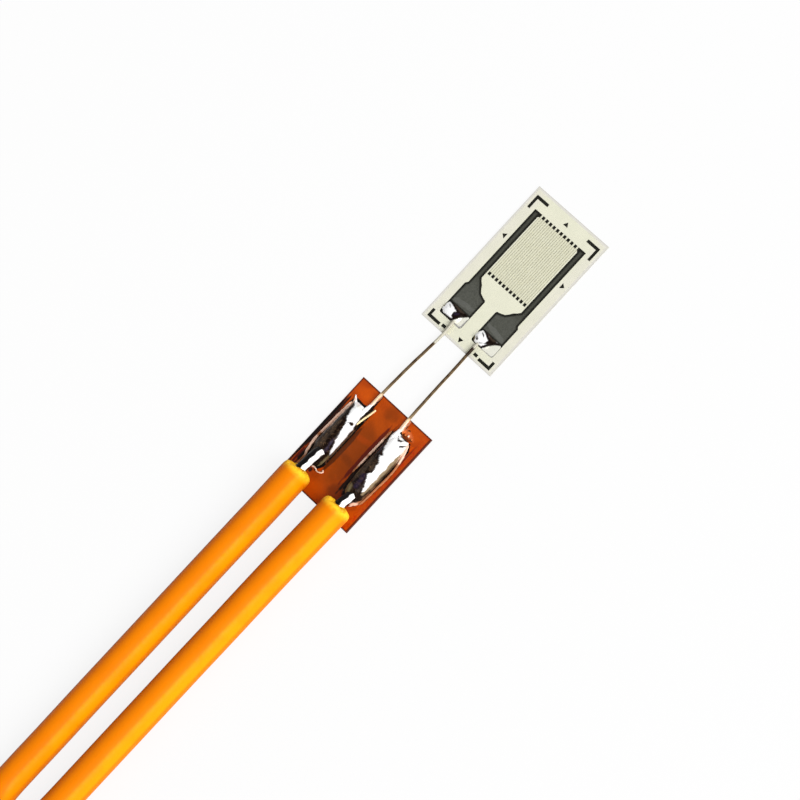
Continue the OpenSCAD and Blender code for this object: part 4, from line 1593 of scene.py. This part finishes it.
@dataclass
class HookUpWire:
    """One insulated wire, from the terminal board to its bare tip inside the hank."""

    side: int
    plan: HankPlan
    length: float = 0.275
    start_x: float = -11.69
    board_t: float = 0.1
    core_d: float = 0.45
    tip_len: float = 5.0

    # How far along X each point lies from the pads; then, for each wire, its Y and its height in wire
    # diameters above what the wire rests on
    FROM_PADS = (-0.4, -1.1, -2.8, -4.8, -6.8, -8.8, -10.8, -12.8,
                 -14.8, -16.3, -17.3, -18.3, -19.3, -20.3, -21.3, -22.3)
    ROUTES = {
        1: ((0.95, 0), (0.96, 0), (1.02, 0), (1.04, 0), (1.05, 0), (1.06, 0), (1.07, 0), (1.08, 0),
            (1.08, 0), (1.09, 0), (1.06, 0.02), (0.8, 0.2), (0.38, 0.5), (0.12, 0.84), (-0.22, 0.99),
            (-0.4, 1)),
        2: ((-1.48, 0), (-1.46, 0), (-1.37, 0), (-1.34, 0), (-1.33, 0), (-1.31, 0), (-1.3, 0),
            (-1.29, 0), (-1.28, 0), (-1.27, 0), (-1.22, 0), (-1.04, 0), (-0.8, 0), (-0.6, 0),
            (-0.46, 0), (-0.4, 0)),
    }
    ON_BOARD = 2
    # Rings at a cut end: how far back each lies, and its share of the whole radius
    CUT_END = ((0.0, 0.42), (0.02, 0.72), (0.06, 0.88), (0.12, 0.96), (0.25, 1.0))
    CLEAR = 1.3
    SIDES_ROUND = 28

    def path(self) -> np.ndarray:
        """The wire's middle line, in millimetres.

        Returns:
            Its points, from the end at the board to the other.
        """
        d = self.plan.wire_d
        route = [
            (self.start_x + x, y, d * (h + 0.5) + (self.board_t if i < self.ON_BOARD else 0))
            for i, (x, (y, h)) in enumerate(zip(self.FROM_PADS, self.ROUTES[self.side], strict=True))
        ]
        hank = self.plan.path(self.side)
        last = route[-1]
        halfway = ((last[0] + hank[0][0]) / 2, last[1], last[2])
        lying = smooth_path([*route, halfway, tuple(hank[0])], 5)
        lying[:, 2] = np.maximum(lying[:, 2], d / 2)
        whole = np.vstack([lying[:-1], hank])
        ends = np.array([self._stand_in(whole[0], whole[1], back) for back, _ in self.CUT_END])
        tail = np.array([self._stand_in(whole[-1], whole[-2], back) for back, _ in reversed(self.CUT_END)])
        clear = np.linalg.norm(whole[1:-1] - whole[0], axis=1) > self.CLEAR * self.CUT_END[-1][0]
        return np.vstack([ends, whole[1:-1][clear], tail])

    @staticmethod
    def _stand_in(end: np.ndarray, inner: np.ndarray, back: float) -> np.ndarray:
        """A point on the middle line, so far back from an end."""
        run = inner - end
        return end + run / np.linalg.norm(run) * back

    def build(self, insulation: bpy.types.Material, tin: bpy.types.Material) -> None:
        """Args:
            insulation: The insulation's material.
            tin: The bare tip's material.
        """
        path = self.path()
        radii = np.full((len(path), self.SIDES_ROUND), self.plan.wire_d / 2)
        turn = np.linspace(0, 2 * np.pi, self.SIDES_ROUND, endpoint=False)
        torn = 0.05 * np.sin(2 * turn + self.side) + 0.035 * np.sin(5 * turn + 2) + 0.02 * np.sin(9 * turn)
        along = np.zeros_like(radii)
        for i, (back, share) in enumerate(self.CUT_END):
            for ring, sign in ((i, -1), (-1 - i, 1)):
                radii[ring] *= share
                along[ring] = sign * torn * (1 - back / self.CUT_END[-1][0])
        shell = Shell()
        shell.tube(path, radii, self.SIDES_ROUND, along)
        nodes = (f"wire_{self.side}", "wire_hank", f"wire_tail_{self.side}")
        cord = shell.make(f"hook_up_wire_{self.side}", insulation, "insulation", *nodes)
        tip = self._tip(tin)

    def _tip(self, tin: bpy.types.Material) -> bpy.types.Object:
        """The bare end, twisted and tinned.

        Args:
            tin: The tin's material.

        Returns:
            The bare end.
        """
        end = self.plan.path(self.side)[-1]
        ahead = np.array([1.0, 0.0, 0.0])
        route = [tuple(end + ahead * s) for s in (-0.4, 0.0, *np.linspace(0.7, self.tip_len, 7))]
        name, node = f"bare_tip_{self.side}", f"wire_tip_{self.side}"
        return BentWire(name, node, "conductor", route, self.core_d, strands=7, ridge=0.12).build(tin)


@dataclass
class LacingTie:
    """The flat tape round the turns of the +Y run, with its knot outside."""

    plan: HankPlan
    width: float = 1.6
    thick: float = 0.2
    corner: float = 0.62
    selvage: float = 0.05
    wave: float = 0.025
    knot_height: float = 3.0
    knot_size: float = 0.16
    knot_out: float = 0.2
    strand_half: Point2 = (0.1625, 0.091)

    # The knot's ends: how far each point lies to the side, out from the band and below the knot
    ENDS = ((0.15, 0.2, 0.2), (0.27, 0.14, 0.6), (0.41, 0.1, 1.1), (0.45, 0.1, 1.5))

    def build(self, finish: bpy.types.Material) -> None:
        """Makes the tie.

        Args:
            finish: The tape's material.
        """
        shell = Shell()
        self._band(shell)
        self._knot(shell)
        shell.make("lacing_tie", finish, "tape", "hank_tie")

    def _band(self, shell: Shell) -> None:
        """Adds the band: a flat tape that goes round the bundle's section.

        Args:
            shell: The tie's shell.
        """
        course = self._course()
        ahead = np.roll(course, -1, 0) - np.roll(course, 1, 0)
        ahead /= np.linalg.norm(ahead, axis=1)[:, None]
        outward = np.stack([ahead[:, 1], -ahead[:, 0]], -1)
        across = np.linspace(-1, 1, 9)
        edge = self.thick / 2 * (1 - 0.75 * across**8)
        section = list(zip(across, edge, strict=True))
        section += [(a, -e) for a, e in reversed(section)]
        rings = []
        for i, (place, side) in enumerate(zip(course, outward, strict=True)):
            half = self.width / 2 - self.selvage + self.wave * math.sin(i * 0.7)
            ring = []
            for a, e in section:
                r, z = place + side * e
                ring.append((self.plan.tie_x + a * half, self.plan.near[1] + r, max(z, 0.0)))
            rings.append(ring)
        shell.loft(np.array([*rings, rings[0]]))

    def _course(self) -> np.ndarray:
        """The band's middle line, by its distance from the hank's middle line and its height.

        Returns:
            Its points, once round.
        """
        plan, corner, half = self.plan, self.corner, self.thick / 2
        near, far = plan.inner - half + corner, plan.outer + half - corner
        low, high = half + corner, plan.layers * plan.wire_d + half - corner
        corners = ((near, low, 180), (far, low, 270), (far, high, 0), (near, high, 90))
        bent = [
            (r + corner * math.cos(a), z + corner * math.sin(a))
            for r, z, start in corners
            for a in np.radians(np.linspace(start, start + 90, 7))
        ]
        runs = zip(bent, [*bent[1:], bent[0]], strict=True)
        return np.vstack([np.linspace(a, b, 6, endpoint=False) for a, b in runs])

    def _knot(self, shell: Shell) -> None:
        """Adds the knot and its two short ends, flat against the band.

        Args:
            shell: The tie's shell.
        """
        x, face = self.plan.tie_x, self.plan.near[1] + self.plan.outer + self.thick
        t = np.linspace(0, 2 * np.pi, 72)
        size = self.knot_size
        across = x + size * (np.sin(t) + 2 * np.sin(2 * t))
        out = face + self.knot_out + 0.6 * size * np.sin(3 * t)
        height = self.knot_height + 0.8 * size * (np.cos(t) - 2 * np.cos(2 * t))
        self._strand(shell, np.stack([across, out, height], -1))
        for lean in (-1, 1):
            ends = [(x + lean * aside, face + off, self.knot_height - drop) for aside, off, drop in self.ENDS]
            self._strand(shell, smooth_path(ends, 6))

    def _strand(self, shell: Shell, path: np.ndarray) -> None:
        """Adds a flattened strand of tape along a path that may stand upright.

        Args:
            shell: The tie's shell.
            path: The strand's middle line, in millimetres.
        """
        ahead = np.gradient(path, axis=0)
        ahead /= np.linalg.norm(ahead, axis=1)[:, None]
        side = np.cross(ahead, [0.0, 1.0, 0.0])
        side /= np.maximum(np.linalg.norm(side, axis=1), 1e-6)[:, None]
        depth = np.cross(ahead, side)
        turn = np.linspace(0, 2 * np.pi, 12, endpoint=False)[None, :, None]
        wide, thick = self.strand_half
        out = np.cos(turn) * side[:, None] * wide + np.sin(turn) * depth[:, None] * thick
        shell.loft(path[:, None] + out)


@dataclass(frozen=True)
class PhotoView:
    """The camera, placed as the photograph saw the gauge: from the -Y side, looking well down."""

    pixels: int = 800
    pixels_per_mm: float = 25.7
    aim: Point2 = (-7.494, 0.186)
    tilt: float = 31.3
    roll: float = 47.31
    lens: float = 300.0
    sensor: float = 36.0
    clip: Point2 = (0.01, 20.0)

    def build(self) -> None:
        """Makes the camera and sets it as the scene's own."""
        tilt, roll = math.radians(self.tilt), math.radians(self.roll)
        down = Vector((0.0, -math.cos(tilt), -math.sin(tilt)))
        length = Vector((1.0, 0.0, 0.0))
        right = math.cos(roll) * length + math.sin(roll) * down
        up = math.sin(roll) * length - math.cos(roll) * down
        back = right.cross(up)
        distance = self.pixels / self.pixels_per_mm * self.lens / self.sensor * MM
        data = bpy.data.cameras.new("photo_view")
        data.lens, data.sensor_width = self.lens, self.sensor
        data.clip_start, data.clip_end = self.clip
        camera = bpy.data.objects.new("photo_view", data)
        place = Matrix((right, up, back)).transposed().to_4x4()
        place.translation = Vector((self.aim[0] * MM, self.aim[1] * MM, 0.0)) + back * distance
        camera.matrix_world = place
        bpy.context.collection.objects.link(camera)
        bpy.context.scene.camera = camera
        LOG.info("camera %.0f mm away", distance / MM)


@dataclass(frozen=True)
class Studio:
    """A plain pale floor and soft light, the brighter side towards -Y as in the photograph."""

    floor_half: float = 3.0
    floor_drop: float = 0.00002
    floor_colour: Colour = tint(240, 240, 240)
    floor_shade: Colour = tint(236, 236, 236)
    glow: float = 0.86
    zenith: float = 0.34
    horizon: float = 0.9
    fade: Point2 = (0.05, 0.75)
    key_power: float = 3.4
    key_over: Point3 = (-0.012, 0.0, 0.0)
    key_from: Point3 = (0.12, -0.8, 0.62)
    key_away: float = 0.55
    key_size: float = 0.3

    def build(self) -> None:
        """Makes the floor, the sky and the lamp."""
        self._floor()
        self._sky()
        self._lamp()
        bpy.context.scene.view_settings.view_transform = "Standard"

    def _floor(self) -> None:
        """The floor: matt for light that bounces, and nearly white to the eye and in reflections."""
        mesh = bpy.data.meshes.new("floor")
        h = self.floor_half
        mesh.from_pydata([(-h, -h, 0), (h, -h, 0), (h, h, 0), (-h, h, 0)], [], [(0, 1, 2, 3)])
        floor = bpy.data.objects.new("floor", mesh)
        floor.location.z = -self.floor_drop
        bpy.context.collection.objects.link(floor)
        shade = Shade("studio_floor")
        paper = shade.mix(shade.cloud(0.02), self.floor_colour, self.floor_shade)
        shade.dress(Base_Color=paper, Roughness=0.9, Specular_IOR_Level=0.0)
        path = shade.add("ShaderNodeLightPath").outputs
        seen = shade.sum("MAXIMUM", path["Is Camera Ray"], path["Is Glossy Ray"])
        seen = shade.sum("MAXIMUM", seen, path["Is Transmission Ray"])
        white = shade.add("ShaderNodeEmission", {"Color": (1, 1, 1, 1), "Strength": 1.0})
        share = shade.sum("MULTIPLY", seen, self.glow)
        both = shade.add("ShaderNodeMixShader", {0: share, 1: shade.shader.outputs[0], 2: white.outputs[0]})
        output = next(n for n in shade.nodes if n.type == "OUTPUT_MATERIAL")
        shade.feed(output.inputs["Surface"], both.outputs[0])
        mesh.materials.append(shade.material)

    def _sky(self) -> None:
        """A pale sky, white at the horizon and greyer overhead."""
        world = bpy.data.worlds.new("studio_sky")
        bpy.context.scene.world = world
        world.use_nodes = True
        nodes, links = world.node_tree.nodes, world.node_tree.links
        direction = nodes.new("ShaderNodeTexCoord").outputs["Generated"]
        split = nodes.new("ShaderNodeSeparateXYZ")
        links.new(direction, split.inputs[0])
        fade = nodes.new("ShaderNodeMapRange")
        ends = (*self.fade, self.horizon, self.zenith)
        for name, value in zip(("From Min", "From Max", "To Min", "To Max"), ends, strict=True):
            fade.inputs[name].default_value = value
        links.new(split.outputs["Z"], fade.inputs["Value"])
        sky = nodes["Background"]
        links.new(fade.outputs[0], sky.inputs["Strength"])
        sky.inputs["Color"].default_value = (1, 1, 1, 1)

    def _lamp(self) -> None:
        """The large soft lamp on the -Y side."""
        data = bpy.data.lights.new("window", "AREA")
        data.energy = self.key_power
        data.size = self.key_size
        lamp = bpy.data.objects.new("window", data)
        towards = Vector(self.key_from).normalized()
        lamp.location = Vector(self.key_over) + towards * self.key_away
        lamp.rotation_euler = towards.to_track_quat("Z", "Y").to_euler()
        bpy.context.collection.objects.link(lamp)


def dress_node(name: str, finish: bpy.types.Material) -> None:
    """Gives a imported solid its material.

    Args:
        name: The solid's name.
        finish: The material.
    """
    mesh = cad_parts[name].data
    mesh.materials.clear()
    mesh.materials.append(finish)
    LOG.info("dressed %s", name)


def save_sizes() -> None:
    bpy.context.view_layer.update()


def main() -> None:
    """Builds the view, the wires and then the rest of the part."""
    logging.basicConfig(level=logging.INFO, format="%(message)s")
    PhotoView().build()
    plan = HankPlan()
    insulation = InsulationFinish().make()
    tin = TinFinish("tinned_tip").make()
    for side in SIDES:
        HookUpWire(side, plan).build(insulation, tin)
    LacingTie(plan).build(TapeFinish().make())
    Gauge().build()
    TerminalBoard().build()
    Studio().build()
    save_sizes()


if __name__ == "__main__":
    main()
